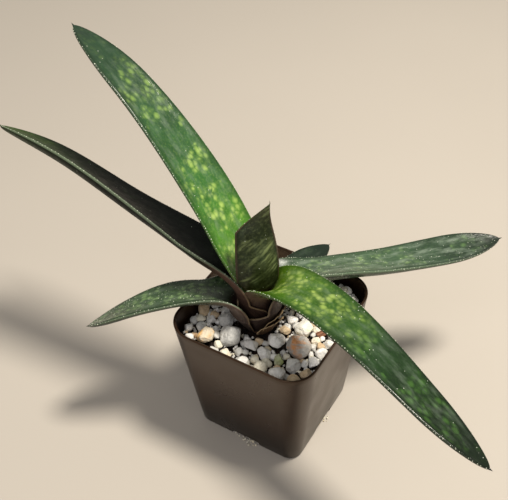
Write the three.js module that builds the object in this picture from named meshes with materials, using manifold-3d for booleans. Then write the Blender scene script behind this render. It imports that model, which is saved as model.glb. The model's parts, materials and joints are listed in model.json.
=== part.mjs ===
import * as THREE from "three";
import { mergeVertices } from "three/addons/utils/BufferGeometryUtils.js";
import Module from "manifold-3d";

// A young strap-leaved gasteria in a square nursery pot, top-dressed with pumice stones.
// Millimetres and degrees, +Z up. The origin is the middle of the pot's underside, and the
// pot's four faces look along X and Y.

// ---- pot ----
const RIM_SIDE = 70; // outer side at the rim
const FOOT_SIDE = 54; // outer side at the foot
const POT_HEIGHT = 69;
const RIM_CORNER = 12.5; // outer corner radius at the rim
const FOOT_CORNER = 6.5; // outer corner radius at the foot
const POT_WALL = 1.2;
const POT_FLOOR = 1.8;
const FOOT_ROUNDING = 1.4; // where the wall turns into the underside
const SLOT_WIDTH = 15; // drain slot in the middle of each side
const SLOT_HEIGHT = 3;
const SLOT_REACH = 5; // how far a slot runs in under the floor

// ---- filling ----
const GAP = 0.3; // clearance between neighbouring solids
const MIX_DROP = 10.5; // from the rim down to the potting mix
const STONE_COUNT = 46;
const STONE_MIN = 4.5; // width of the smallest separate stone
const STONE_MAX = 7; // width of the largest stone that has no place of its own
const STONE_FLATNESS = 0.85; // height over width
const CHIP_LENGTH = 7.5;
const CHIP_WIDTH = 3.4;
const CHIP_THICKNESS = 1.5;

// ---- plant ----
const AXIS_X = -4; // where the stem stands in the pot
const AXIS_Y = -5;
const COLLAR_RISE = 1.5; // the leaf sheaths start this far above the potting mix
const HEART_RADIUS = 4.3; // inside of the innermost sheath, where its blade leaves the stem
const HEART_FOOT_RADIUS = 2.3; // the same at the collar
const SHEATH_THICKNESS = 1.4;
const SHEATH_FOOT_THICKNESS = 0.6;
const BLADE_THICKNESS = 5.2;
const MARGIN_THICKNESS = 1.3;
const MUCRO_LENGTH = 1.6; // the small point at a leaf's end
const HEART_LEAF_SHEATH = 11; // height of the heart leaf's own sheath
const STONE_STAND_OFF = 3; // the stones keep this far from the outermost sheath
const STEM_RADIUS = 1.8;
const STEM_TOP_RISE = 3; // the stem ends this far above the start of the lowest blade
const CROWN_RADIUS = 7; // where stem and roots meet, in the mix
const ROOT_COUNT = 5;
const ROOT_RADIUS = 1.6;
const ROOT_STAND_OFF = 8; // the roots end this far above the pot's floor
const ROOT_SPREAD = 17;

// Each leaf, from the heart outwards. rank counts the sheaths from the heart; rise is the height
// over the collar at which the blade leaves its sheath; wrap and dish are half the angle of the
// section's arc there and along the blade; yaw, pitch and roll are read at even steps from the
// blade's start to its tip. clasp is half the angle that a sheath goes round the stem at its foot.
// tipShare is the part of the blade that narrows to the tip. A one-sided leaf has its tip over to
// one margin, by that share of its half width, and is cut straight towards it.
const LEAVES = [
  {
    name: "leaf_centre", rank: 0, rise: 20, length: 47.5, width: 18.5, wrap: 85, dish: 15,
    yaw: [-50, -47, -43], pitch: [86, 87, 87, 107, 107], roll: [0, 0, 0, 20],
    thickness: 3.6, oneSided: -0.84, tipShare: 0.25, colour: 0x4c5230,
  },
  {
    name: "leaf_upright_left", rank: 1, rise: 15, length: 143, width: 24, wrap: 98, dish: 10,
    clasp: 165, yaw: [168, 169, 171], pitch: [85, 77, 52, 40, 22], roll: [0, -2, -8, -11],
    thickness: BLADE_THICKNESS, colour: 0x3f6b25,
  },
  {
    name: "leaf_front_right", rank: 2, rise: 19, length: 131, width: 22, wrap: 109, dish: 3,
    clasp: 165, yaw: [-12, -18, -18], pitch: [86, 51, 5, -14, -15], roll: [0, -3, 11, 20],
    thickness: BLADE_THICKNESS, colour: 0x35591f,
  },
  {
    name: "leaf_far_left", rank: 3, rise: 19, length: 135, width: 24, wrap: 100, dish: 17,
    clasp: 165, yaw: [179, 182, 183], pitch: [85, 33, 19, 22, 2], roll: [0, -13, -35, -38],
    thickness: BLADE_THICKNESS, colour: 0x1f3622,
  },
  {
    name: "leaf_right", rank: 4, rise: 14, length: 112, width: 22, wrap: 89, dish: 11,
    clasp: 165, yaw: [56, 50, 44], pitch: [84, 15, -12, -3, 3], roll: [0, 20, 15, -9],
    thickness: BLADE_THICKNESS, colour: 0x3d5a3c,
  },
  {
    name: "leaf_low_left", rank: 5, rise: 12, length: 70, width: 19, wrap: 80, dish: 8,
    yaw: [204, 212, 221], pitch: [85, 24, -5, -19, -25], roll: [0, -15, -13, -29],
    thickness: 4.6, colour: 0x47603c,
  },
  {
    name: "leaf_back_right", rank: 5, rise: 8, length: 40.5, width: 15, wrap: 42, dish: 10,
    yaw: [78, 78, 78], pitch: [85, 48, 12, -5, -10], roll: [0, 0, 0, 0],
    thickness: 3.4, tipShare: 0.42, colour: 0x2c4527,
  },
];

// Papery sheaths of leaves that have died back. They have no blade.
const DRY_SHEATHS = [
  { name: "dry_sheath_right", rank: 5, rise: 12, wrap: 40, yaw: -8, colour: 0x8a7148 },
  { name: "dry_sheath_front", rank: 6, rise: 10, wrap: 42, yaw: -22, colour: 0x9a7d4a },
];

// The stones that keep their places: x, y, width and tint, with the stem and the walls pushing
// them clear.
const PLACED_STONES = [
  [-6, -17, 11.5, "grey"], [-15, -27, 9, "tan"], [-15, -18, 8, "grey"], [-22, -20, 5.5, "grey"],
  [-28, -27, 5, "white"], [-31, -13, 6.5, "tan"], [-26, -9, 6, "grey"], [-20, -9, 6, "grey"],
  [-25, -15, 5, "white"], [-30, -20, 4.5, "grey"], [-22, -29, 5, "white"], [-8, -26, 6, "cream"],
  [0, -23, 6.5, "white"], [7, -27, 7.5, "cream"], [9, -20, 7, "white"], [15, -19, 5.5, "cream"],
  [10, -12, 9, "white"], [23, -14, 11.5, "grey"], [17, -27, 8, "white"], [26, -24, 7.5, "grey"],
  [28, -7, 5.5, "white"], [30, -2, 5, "white"], [31, -14, 6, "white"], [18, -4, 9, "cream"],
  [12, 0, 6, "white"], [23, 30, 6, "grey"], [28, 26, 5.5, "grey"], [18, 30, 6, "white"],
  [-12, 30, 6, "white"],
];
const TINTS = { grey: 0xa8a299, white: 0xd9d4c8, cream: 0xd2c79c, tan: 0xb59b78 };
const CHIP_PLACE = [23, -2];

const wasm = await Module();
wasm.setup();

const degrees = THREE.MathUtils.degToRad;
const clamp01 = (value) => THREE.MathUtils.clamp(value, 0, 1);

// A repeatable source of numbers from 0 to 1.
function numbersFrom(seed) {
  let state = seed;
  return () => {
    state = (state * 1664525 + 1013904223) % 4294967296;
    return state / 4294967296;
  };
}

// ---- solids ----

function toSolid(geometry) {
  const bare = geometry.index ? geometry.toNonIndexed() : geometry.clone();
  bare.deleteAttribute("normal");
  bare.deleteAttribute("uv");
  const merged = mergeVertices(bare, 1e-4);
  return new wasm.Manifold(
    new wasm.Mesh({
      numProp: 3,
      vertProperties: merged.attributes.position.array,
      triVerts: new Uint32Array(merged.index.array),
    }),
  );
}

function toGeometry(solid) {
  const mesh = solid.getMesh();
  const geometry = new THREE.BufferGeometry();
  geometry.setAttribute("position", new THREE.BufferAttribute(mesh.vertProperties, 3));
  geometry.setIndex(new THREE.BufferAttribute(mesh.triVerts, 1));
  geometry.computeVertexNormals();
  return geometry;
}

// A closed skin through rings of points, all with the same number of points.
function loft(rings) {
  const around = rings[0].length;
  const points = rings.flat();
  const faces = [];
  for (let ring = 0; ring + 1 < rings.length; ring += 1) {
    for (let i = 0; i < around; i += 1) {
      const a = ring * around + i;
      const b = ring * around + ((i + 1) % around);
      faces.push(a, b, b + around, a, b + around, a + around);
    }
  }
  // The ends are closed by strips from one half of the ring to the other, so a hollow C-shaped
  // section is closed right as well.
  const last = (rings.length - 1) * around;
  for (let i = 0; i + 1 < around / 2; i += 1) {
    const opposite = around - 1 - i;
    faces.push(i, opposite, opposite - 1, i, opposite - 1, i + 1);
    faces.push(last + i, last + opposite - 1, last + opposite, last + i, last + i + 1, last + opposite - 1);
  }
  let volume = 0;
  const cross = new THREE.Vector3();
  for (let f = 0; f < faces.length; f += 3) {
    const [a, b, c] = [points[faces[f]], points[faces[f + 1]], points[faces[f + 2]]];
    volume += a.dot(cross.crossVectors(b, c));
  }
  if (volume < 0) {
    faces.reverse();
  }
  const geometry = new THREE.BufferGeometry().setFromPoints(points);
  geometry.setIndex(faces);
  return geometry;
}

// ---- pot ----

// The pot narrows evenly from the rim to the foot.
function potSideAt(z) {
  return THREE.MathUtils.lerp(FOOT_SIDE, RIM_SIDE, z / POT_HEIGHT);
}

function potCornerAt(z) {
  return THREE.MathUtils.lerp(FOOT_CORNER, RIM_CORNER, z / POT_HEIGHT);
}

// A rounded square at height z, inset from the pot's outer face.
function potRing(z, inset) {
  const cornerSteps = 6;
  const half = potSideAt(z) / 2 - inset;
  const radius = Math.max(potCornerAt(z) - inset, 1);
  const ring = [];
  for (let corner = 0; corner < 4; corner += 1) {
    const turn = degrees(90 * corner);
    for (let step = 0; step <= cornerSteps; step += 1) {
      const angle = degrees((90 * step) / cornerSteps);
      const x = half - radius + radius * Math.cos(angle);
      const y = half - radius + radius * Math.sin(angle);
      ring.push(new THREE.Vector3(x, y, z).applyAxisAngle(new THREE.Vector3(0, 0, 1), turn));
    }
  }
  return ring;
}

function makePot() {
  const shell = toSolid(
    loft([
      potRing(0, FOOT_ROUNDING),
      potRing(FOOT_ROUNDING * 0.3, FOOT_ROUNDING * 0.3),
      potRing(FOOT_ROUNDING, 0),
      potRing(POT_HEIGHT, 0),
      potRing(POT_HEIGHT, POT_WALL),
      potRing(POT_FLOOR + FOOT_ROUNDING, POT_WALL),
      potRing(POT_FLOOR, POT_WALL + FOOT_ROUNDING),
    ]),
  );
  let cut = shell;
  for (let side = 0; side < 4; side += 1) {
    const slot = new THREE.BoxGeometry(SLOT_WIDTH, 2 * SLOT_REACH, 2 * SLOT_HEIGHT);
    slot.translate(0, -potSideAt(0) / 2, 0);
    slot.rotateZ(degrees(90 * side));
    cut = cut.subtract(toSolid(slot));
  }
  return cut;
}

// ---- leaves ----

const MIX_TOP = POT_HEIGHT - MIX_DROP;
const COLLAR = MIX_TOP + COLLAR_RISE;

// Inside radius of a sheath of the given rank: each lies around the last with a gap.
function sheathRadius(rank, atFoot) {
  const heart = atFoot ? HEART_FOOT_RADIUS : HEART_RADIUS;
  const step = (atFoot ? SHEATH_FOOT_THICKNESS : SHEATH_THICKNESS) + (atFoot ? GAP : GAP + 0.1);
  // The heart leaf stands inside the innermost sheath.
  return rank === 0 ? heart - step : heart + step * (rank - 1);
}

// A smooth curve through values given at even steps, read at a share from 0 to 1.
function along(values, share) {
  const last = values.length - 1;
  const place = Math.min(clamp01(share) * last, last - 1e-9);
  const i = Math.floor(place);
  const t = place - i;
  const at = (k) => values[THREE.MathUtils.clamp(k, 0, last)];
  const [a, b, c, d] = [at(i - 1), at(i), at(i + 1), at(i + 2)];
  const bend = (2 * a - 5 * b + 4 * c - d) * t * t + (3 * b - a - 3 * c + d) * t * t * t;
  return 0.5 * (2 * b + (c - a) * t + bend);
}

// One section: the inner face is an arc around the leaf's upper side, the outer face bulges away.
function leafSection({ middle, side, up, width, arc, thickness, edge, grow }) {
  const across = [-1, -0.82, -0.62, -0.42, -0.21, 0, 0.21, 0.42, 0.62, 0.82, 1];
  const radius = width / (2 * arc);
  const centre = middle.clone().addScaledVector(up, radius);
  const reach = arc + grow / radius;
  const pointAt = (share, distance) =>
    centre
      .clone()
      .addScaledVector(side, distance * Math.sin(share * reach))
      .addScaledVector(up, -distance * Math.cos(share * reach));
  const inner = across.map((u) => pointAt(u, radius - grow));
  const outer = across.map((u) => {
    const bulge = edge + (thickness - edge) * (1 - Math.abs(u) ** 2.5);
    return pointAt(u, radius + bulge + grow);
  });
  return [...inner, ...outer.reverse()];
}

// The rings of a leaf: a straight sheath around the stem, then the blade, then the small point.
// grow thickens it all round, for cutting a neighbour with a clearance.
function leafRings(leaf, grow = 0) {
  const sheathSteps = 5;
  const bladeSteps = 22;
  const walkSteps = 6; // short steps of the midrib between two sections
  const yawStart = degrees(leaf.yaw[0]);
  const wrap = degrees(leaf.wrap);
  const dish = degrees(leaf.dish);
  const clasp = degrees(leaf.clasp ?? leaf.wrap);
  const topRadius = sheathRadius(leaf.rank, false);
  const footRadius = sheathRadius(leaf.rank, true);
  const start = COLLAR + leaf.rise;
  const foot = leaf.rank === 0 ? start - HEART_LEAF_SHEATH : COLLAR;
  const sheathWidth = 2 * topRadius * wrap;
  const outward = new THREE.Vector3(Math.cos(yawStart), Math.sin(yawStart), 0);
  const rings = [];

  for (let step = 0; step < sheathSteps; step += 1) {
    const share = 1 - (1 - step / sheathSteps) ** 2;
    const z = THREE.MathUtils.lerp(foot, start, share);
    const arc = THREE.MathUtils.lerp(clasp, wrap, share ** 6);
    const climb = leaf.rank === 0 ? 0.6 + 0.4 * share : share;
    const radius = THREE.MathUtils.lerp(footRadius, topRadius, climb);
    const thickness = THREE.MathUtils.lerp(SHEATH_FOOT_THICKNESS, SHEATH_THICKNESS, climb);
    rings.push(
      leafSection({
        middle: new THREE.Vector3(AXIS_X, AXIS_Y, z).addScaledVector(outward, radius),
        side: new THREE.Vector3(outward.y, -outward.x, 0),
        up: outward.clone().negate(),
        width: 2 * radius * arc,
        arc,
        thickness,
        edge: thickness * 0.7,
        grow,
      }),
    );
  }

  const middle = new THREE.Vector3(AXIS_X, AXIS_Y, start).addScaledVector(outward, topRadius);
  const forward = new THREE.Vector3();
  const side = new THREE.Vector3();
  const up = new THREE.Vector3();
  const face = (s) => {
    const share = s ** 0.6; // the leaf bends most near its base
    const yaw = degrees(along(leaf.yaw, share));
    const pitch = degrees(along(leaf.pitch, share));
    const roll = degrees(along(leaf.roll, share));
    forward.set(Math.cos(pitch) * Math.cos(yaw), Math.cos(pitch) * Math.sin(yaw), Math.sin(pitch));
    side.set(Math.sin(yaw), -Math.cos(yaw), 0).applyAxisAngle(forward, -roll);
    up.crossVectors(side, forward);
  };
  let walked = 0;
  for (let step = 0; step <= bladeSteps; step += 1) {
    const s = 0.5 * (1 - Math.cos((Math.PI * Math.min(step, bladeSteps - 0.6)) / bladeSteps));
    for (let short = 1; short <= walkSteps && s > walked; short += 1) {
      const length = (s - walked) / walkSteps;
      face(walked + length * (short - 0.5));
      middle.addScaledVector(forward, leaf.length * length);
    }
    walked = s;
    face(s);
    const footShare = sheathWidth / leaf.width;
    const waist = 1 - 0.08 * clamp01(1 - s / 0.4) ** 2;
    const flare = (footShare - 0.92) * clamp01(1 - s / 0.22) ** 1.6;
    const taper = 1 - 0.36 * clamp01((s - 0.4) / 0.6) ** 1.5;
    const towards = clamp01((1 - s) / (leaf.tipShare ?? 0.24));
    const point = leaf.oneSided ? 1 - (1 - towards) ** 1.2 : (1 - (1 - towards) ** 2.2) ** 0.62;
    const sidestep = (leaf.oneSided || 0) * (leaf.width / 2) * (1 - point);
    const fleshy = THREE.MathUtils.smoothstep(s, 0, 0.2);
    const full = leaf.thickness * (1 - 0.4 * s ** 2) * (0.3 + 0.7 * point);
    rings.push(
      leafSection({
        middle: middle.clone().addScaledVector(side, sidestep),
        side,
        up,
        width: leaf.width * (waist + flare) * taper * point,
        arc: dish + (wrap - dish) * clamp01(1 - s / 0.26) ** 1.5,
        thickness: THREE.MathUtils.lerp(SHEATH_THICKNESS, full, fleshy),
        edge: THREE.MathUtils.lerp(SHEATH_THICKNESS * 0.7, MARGIN_THICKNESS, fleshy) * (0.4 + 0.6 * point),
        grow,
      }),
    );
  }

  const tip = middle
    .clone()
    .addScaledVector(forward, MUCRO_LENGTH + grow)
    .addScaledVector(side, (leaf.oneSided || 0) * (leaf.width / 2));
  rings.push(
    leafSection({
      middle: tip, side, up, width: 0.5, arc: 0.2, thickness: 0.4, edge: 0.3, grow: 0.5 * grow,
    }),
  );
  return rings;
}

// A dead leaf's sheath: thin, with a round top edge.
function drySheathRings(sheath) {
  const steps = 6;
  const yaw = degrees(sheath.yaw);
  const outward = new THREE.Vector3(Math.cos(yaw), Math.sin(yaw), 0);
  const rings = [];
  for (let step = 0; step <= steps; step += 1) {
    const share = Math.min(step / steps, 0.985);
    const z = COLLAR + sheath.rise * share;
    const climb = (sheath.rise * share) / LEAVES[1].rise;
    const radius = THREE.MathUtils.lerp(
      sheathRadius(sheath.rank, true), sheathRadius(sheath.rank, false), climb,
    );
    const arc = degrees(sheath.wrap) * Math.sqrt(1 - share ** 3);
    rings.push(
      leafSection({
        middle: new THREE.Vector3(AXIS_X, AXIS_Y, z).addScaledVector(outward, radius),
        side: new THREE.Vector3(outward.y, -outward.x, 0),
        up: outward.clone().negate(),
        width: 2 * radius * arc,
        arc,
        thickness: 0.8,
        edge: 0.5,
        grow: 0,
      }),
    );
  }
  return rings;
}

// ---- stem and roots ----

// grow thickens it all round, for cutting the potting mix with a clearance.
function makeStem(grow) {
  const stemTop = COLLAR + Math.min(...LEAVES.map((leaf) => leaf.rise)) + STEM_TOP_RISE;
  const crown = MIX_TOP - 9;
  const rootDepth = crown - POT_FLOOR - ROOT_STAND_OFF - ROOT_RADIUS;
  const profile = [
    [0, crown - 5 - grow],
    [CROWN_RADIUS * 0.6 + grow, crown - 4 - grow],
    [CROWN_RADIUS + grow, crown + grow],
    [CROWN_RADIUS * 0.9 + grow, MIX_TOP - 1 + grow],
    [STEM_RADIUS + grow, COLLAR - GAP + grow],
    [STEM_RADIUS + grow, COLLAR + 3 + grow],
    [STEM_RADIUS * 0.9 + grow, stemTop - 1.5 + grow],
    [0, stemTop + grow],
  ].map(([radius, z]) => new THREE.Vector2(radius, z));
  const core = new THREE.LatheGeometry(profile, 16);
  core.rotateX(degrees(90));
  core.translate(AXIS_X, AXIS_Y, 0);
  let stem = toSolid(core);
  for (let root = 0; root < ROOT_COUNT; root += 1) {
    const turn = degrees((360 / ROOT_COUNT) * root + 20);
    const place = (share, spread, z) =>
      new THREE.Vector3(
        AXIS_X * (1 - share) + Math.cos(turn + share) * spread,
        AXIS_Y * (1 - share) + Math.sin(turn + share) * spread,
        z,
      );
    const path = new THREE.CatmullRomCurve3([
      place(0, 2.5, crown - 1),
      place(0.3, ROOT_SPREAD * 0.45, crown - rootDepth * 0.22),
      place(0.65, ROOT_SPREAD * 0.85, crown - rootDepth * 0.55),
      place(0.9, ROOT_SPREAD, crown - rootDepth),
    ]);
    const outline = new THREE.Shape();
    outline.absarc(0, 0, ROOT_RADIUS + grow, 0, 2 * Math.PI, false);
    const tube = new THREE.ExtrudeGeometry(outline, {
      curveSegments: 4, steps: 9, bevelEnabled: false, extrudePath: path,
    });
    stem = stem.add(toSolid(tube));
  }
  return stem;
}

function makeMix() {
  const fill = toSolid(
    loft([
      potRing(POT_FLOOR + GAP, POT_WALL + FOOT_ROUNDING + GAP),
      potRing(POT_FLOOR + FOOT_ROUNDING + GAP, POT_WALL + GAP),
      potRing(MIX_TOP, POT_WALL + GAP),
    ]),
  );
  return fill.subtract(makeStem(GAP));
}

// ---- stones ----

// Where the stones lie: they start from their own or a random place and push each other, the
// walls and the stem's foot clear, the placed ones moving least.
function settleStones() {
  const random = numbersFrom(7);
  const half = potSideAt(MIX_TOP) / 2 - POT_WALL - GAP;
  const corner = potCornerAt(MIX_TOP) - POT_WALL - GAP;
  const outermost = Math.max(...[...LEAVES, ...DRY_SHEATHS].map((sheath) => sheath.rank));
  const stemFoot = sheathRadius(outermost, true) + SHEATH_FOOT_THICKNESS + STONE_STAND_OFF;
  const stones = [];
  const placedEase = 0.3;
  stones.push({ x: CHIP_PLACE[0], y: CHIP_PLACE[1], r: CHIP_LENGTH / 2, ease: placedEase });
  for (const [x, y, width, tint] of PLACED_STONES) {
    stones.push({ x, y, r: width / 2, ease: placedEase, tint });
  }
  while (stones.length < STONE_COUNT + 1) {
    const x = (2 * random() - 1) * half;
    const y = (2 * random() - 1) * half;
    const width = THREE.MathUtils.lerp(STONE_MIN, STONE_MAX, random());
    const tint = Object.keys(TINTS)[stones.length % 4];
    stones.push({ x, y, r: width / 2, ease: 1, tint });
  }
  const rounds = 400;
  for (let round = 0; round < rounds; round += 1) {
    for (const a of stones) {
      for (const b of stones) {
        const away = Math.hypot(a.x - b.x, a.y - b.y);
        const push = a.r + b.r + 2 * GAP - away;
        if (a !== b && push > 0) {
          const share = (0.5 * push * a.ease) / (a.ease + b.ease) / Math.max(away, 0.01);
          a.x += (a.x - b.x) * share;
          a.y += (a.y - b.y) * share;
        }
      }
      const fromStem = Math.hypot(a.x - AXIS_X, a.y - AXIS_Y);
      if (fromStem < stemFoot + a.r) {
        a.x = AXIS_X + ((a.x - AXIS_X) * (stemFoot + a.r)) / fromStem;
        a.y = AXIS_Y + ((a.y - AXIS_Y) * (stemFoot + a.r)) / fromStem;
      }
      const limit = half - a.r - GAP;
      a.x = THREE.MathUtils.clamp(a.x, -limit, limit);
      a.y = THREE.MathUtils.clamp(a.y, -limit, limit);
      const straight = half - corner;
      const overX = Math.abs(a.x) - straight;
      const overY = Math.abs(a.y) - straight;
      const room = corner - a.r - GAP;
      const over = Math.hypot(Math.max(overX, 0), Math.max(overY, 0));
      if (overX > 0 && overY > 0 && over > room) {
        a.x = Math.sign(a.x) * (straight + (overX * room) / over);
        a.y = Math.sign(a.y) * (straight + (overY * room) / over);
      }
    }
  }
  return stones;
}

// A rough stone inside the circle it was given, standing on the potting mix.
function stoneGeometry(radius, seed) {
  const random = numbersFrom(seed);
  const geometry = mergeVertices(
    new THREE.IcosahedronGeometry(1, 1).deleteAttribute("normal").deleteAttribute("uv"), 1e-4,
  );
  const position = geometry.attributes.position;
  const point = new THREE.Vector3();
  for (let i = 0; i < position.count; i += 1) {
    point.fromBufferAttribute(position, i).multiplyScalar(radius * (0.92 + 0.08 * random()));
    position.setXYZ(i, point.x, point.y * (0.88 + 0.1 * random()), point.z * STONE_FLATNESS);
  }
  geometry.rotateZ(degrees(360 * random()));
  geometry.computeBoundingBox();
  geometry.translate(0, 0, -geometry.boundingBox.min.z);
  return geometry;
}

// A flat splinter of bark with blunt corners.
function chipGeometry() {
  const outline = new THREE.Shape([
    new THREE.Vector2(-CHIP_LENGTH / 2, -CHIP_WIDTH * 0.2),
    new THREE.Vector2(-CHIP_LENGTH * 0.3, -CHIP_WIDTH / 2),
    new THREE.Vector2(CHIP_LENGTH * 0.35, -CHIP_WIDTH * 0.4),
    new THREE.Vector2(CHIP_LENGTH / 2, CHIP_WIDTH * 0.1),
    new THREE.Vector2(CHIP_LENGTH * 0.2, CHIP_WIDTH / 2),
    new THREE.Vector2(-CHIP_LENGTH * 0.4, CHIP_WIDTH * 0.35),
  ]);
  return new THREE.ExtrudeGeometry(outline, { depth: CHIP_THICKNESS, bevelEnabled: false });
}

// ---- the plant in its pot ----

const plant = new THREE.Group();

function addPart(name, geometry, colour, roughness) {
  const material = new THREE.MeshStandardMaterial({ color: colour, roughness, metalness: 0 });
  const mesh = new THREE.Mesh(geometry, material);
  mesh.name = name;
  plant.add(mesh);
  return mesh;
}

addPart("pot", toGeometry(makePot()), 0x2b211b, 0.42);
addPart("potting_mix", toGeometry(makeMix()), 0x1c1612, 0.95);
addPart("stem_and_roots", toGeometry(makeStem(0)), 0x7a5a48, 0.7);

// What a leaf asks its neighbours to leave free: itself and a clearance round it. The thickened
// copy alone would not quite hold the leaf in its tightest bend.
const leafRoom = LEAVES.map((leaf) =>
  toSolid(loft(leafRings(leaf, GAP))).add(toSolid(loft(leafRings(leaf)))),
);

// Every leaf gives way to the leaves nearer the heart.
LEAVES.forEach((leaf, index) => {
  let solid = toSolid(loft(leafRings(leaf)));
  for (const room of leafRoom.slice(0, index)) {
    solid = solid.subtract(room);
  }
  addPart(leaf.name, toGeometry(solid), leaf.colour, 0.38);
});

for (const sheath of DRY_SHEATHS) {
  let solid = toSolid(loft(drySheathRings(sheath)));
  for (const room of leafRoom) {
    solid = solid.subtract(room);
  }
  addPart(sheath.name, toGeometry(solid), sheath.colour, 0.8);
}

const [chipPlace, ...stonePlaces] = settleStones();
const chip = addPart("bark_chip", chipGeometry(), 0x6b4a35, 0.9);
chip.position.set(chipPlace.x, chipPlace.y, MIX_TOP + GAP);
chip.rotation.z = degrees(65);
stonePlaces.forEach((place, index) => {
  const name = "stone_" + String(index + 1).padStart(2, "0");
  const stone = addPart(name, stoneGeometry(place.r, 31 * index + 5), TINTS[place.tint], 0.85);
  stone.position.set(place.x, place.y, MIX_TOP + GAP);
});

export default plant;
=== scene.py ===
import json
import math
from random import Random

import bpy
from bpy.props import FloatProperty, FloatVectorProperty, IntProperty, PointerProperty
from mathutils import Euler, Matrix, Vector, noise


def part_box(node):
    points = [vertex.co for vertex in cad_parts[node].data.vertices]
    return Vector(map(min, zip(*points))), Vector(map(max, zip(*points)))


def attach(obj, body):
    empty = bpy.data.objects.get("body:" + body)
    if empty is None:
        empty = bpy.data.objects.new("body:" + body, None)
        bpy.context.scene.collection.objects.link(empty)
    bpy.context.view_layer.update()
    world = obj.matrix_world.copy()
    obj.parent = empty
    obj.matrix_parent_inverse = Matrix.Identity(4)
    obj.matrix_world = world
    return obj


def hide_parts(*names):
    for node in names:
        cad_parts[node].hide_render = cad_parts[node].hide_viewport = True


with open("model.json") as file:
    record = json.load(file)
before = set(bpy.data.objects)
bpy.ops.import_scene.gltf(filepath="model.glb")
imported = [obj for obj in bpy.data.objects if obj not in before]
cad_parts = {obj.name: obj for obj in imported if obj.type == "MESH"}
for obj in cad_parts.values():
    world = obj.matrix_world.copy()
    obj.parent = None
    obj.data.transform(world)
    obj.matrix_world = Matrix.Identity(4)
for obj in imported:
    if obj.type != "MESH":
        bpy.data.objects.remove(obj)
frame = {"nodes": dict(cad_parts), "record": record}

bl_info = {
    "name": "Potted Gasteria",
    "version": (1, 0, 0),
    "blender": (4, 5, 0),
    "location": "View3D > Sidebar > Gasteria",
    "description": "Builds a young gasteria in a square nursery pot, dressed with pumice stones",
    "category": "Add Mesh",
}

MM = 0.001
FULL_TURN = 6.28  # radians, for pieces that may lie any way round


def shade(code):
    """A colour written as six hex digits, as the linear colour that shaders use."""
    parts = [int(code[i:i + 2], 16) / 255 for i in (0, 2, 4)]
    return tuple(p / 12.92 if p <= 0.04045 else ((p + 0.055) / 1.055) ** 2.4 for p in parts)


def clamp(value, low=0.0, high=1.0):
    return max(low, min(high, value))


def lerp(a, b, share):
    return a + (b - a) * share


def smooth(value, low, high):
    t = clamp((value - low) / (high - low))
    return t * t * (3 - 2 * t)


# ---------------------------------------------------------------- sizes and colours

def millimetres(name, value, description):
    return FloatProperty(
        name=name, description=description, default=value * MM, min=0, subtype="DISTANCE", unit="LENGTH",
    )


def colour(name, code, description):
    return FloatVectorProperty(
        name=name, description=description, default=shade(code), min=0, max=1, size=3, subtype="COLOR",
    )


class PotSizes(bpy.types.PropertyGroup):
    rim_side: millimetres("Rim side", 70, "Outer side of the pot at its rim")
    foot_side: millimetres("Foot side", 54, "Outer side of the pot at its foot")
    height: millimetres("Height", 69, "Height of the pot")
    rim_corner: millimetres("Rim corner", 12.5, "Outer corner radius at the rim")
    foot_corner: millimetres("Foot corner", 6.5, "Outer corner radius at the foot")
    wall: millimetres("Wall", 1.2, "Thickness of the pot's wall")
    floor: millimetres("Floor", 1.8, "Thickness of the pot's floor")
    foot_rounding: millimetres("Foot rounding", 1.4, "Radius between the wall and the underside")
    slot_width: millimetres("Slot width", 15, "Width of the drain slot in each side")
    slot_height: millimetres("Slot height", 3, "Height of the drain slots")
    slot_reach: millimetres("Slot reach", 5, "How far a slot runs in under the floor")
    plastic: colour("Plastic", "22160e", "Colour of the pot")


class PlantSizes(bpy.types.PropertyGroup):
    heart: millimetres("Heart", 4.3, "Inside radius of the innermost sheath at its top")
    heart_foot: millimetres("Heart foot", 2.3, "Inside radius of the innermost sheath at its foot")
    sheath: millimetres("Sheath", 1.4, "Thickness of a sheath at its top")
    sheath_foot: millimetres("Sheath foot", 0.6, "Thickness of a sheath at its foot")
    margin: millimetres("Margin", 1.3, "Thickness of a blade's margin")
    mucro: millimetres("Point", 1.6, "Length of the small point at a leaf's end")
    bead: millimetres("Bead", 0.24, "Radius of the pale beads on the leaf margins")
    sheath_colour: colour("Sheaths", "3f2e26", "Colour of the sheaths round the stem")
    papery: colour("Papery edge", "b39a74", "Colour of the thin dry edges of the sheaths")


class BedSettings(bpy.types.PropertyGroup):
    pebbles: IntProperty(name="Pebbles", description="Number of middling stones", default=120, min=0)
    slot_grit: IntProperty(name="Slot grit", description="Number of grains at a drain slot",
                           default=22, min=0)
    heaped: IntProperty(name="Heaped pebbles", description="Number of stones heaped in the corner",
                        default=48, min=0)
    grains: IntProperty(name="Grains", description="Number of small grains", default=620, min=0)
    crumbs: IntProperty(name="Crumbs", description="Number of dark crumbs", default=150, min=0)
    grain: millimetres("Grain", 1.15, "Usual radius of a small grain")
    grey: colour("Grey stone", "d8d7d2", "Colour of the grey pumice")
    white: colour("White stone", "f6f4ef", "Colour of the white pumice")
    cream: colour("Cream stone", "efe9d6", "Colour of the cream pumice")
    tan: colour("Tan stone", "dbc4a2", "Colour of the stained pumice")
    soil: colour("Soil", "15100d", "Colour of the potting mix")


class StageSettings(bpy.types.PropertyGroup):
    floor: colour("Floor", "b7b0a6", "Colour of the floor")
    key: FloatProperty(name="Key light", description="Power of the key light", default=14.5, subtype="POWER")
    fill: FloatProperty(name="Fill light", description="Power of the fill light",
                        default=2.4, subtype="POWER")
    world: FloatProperty(name="Surroundings", description="Brightness of the surroundings", default=0.42)


# ---------------------------------------------------------------- materials

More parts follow.
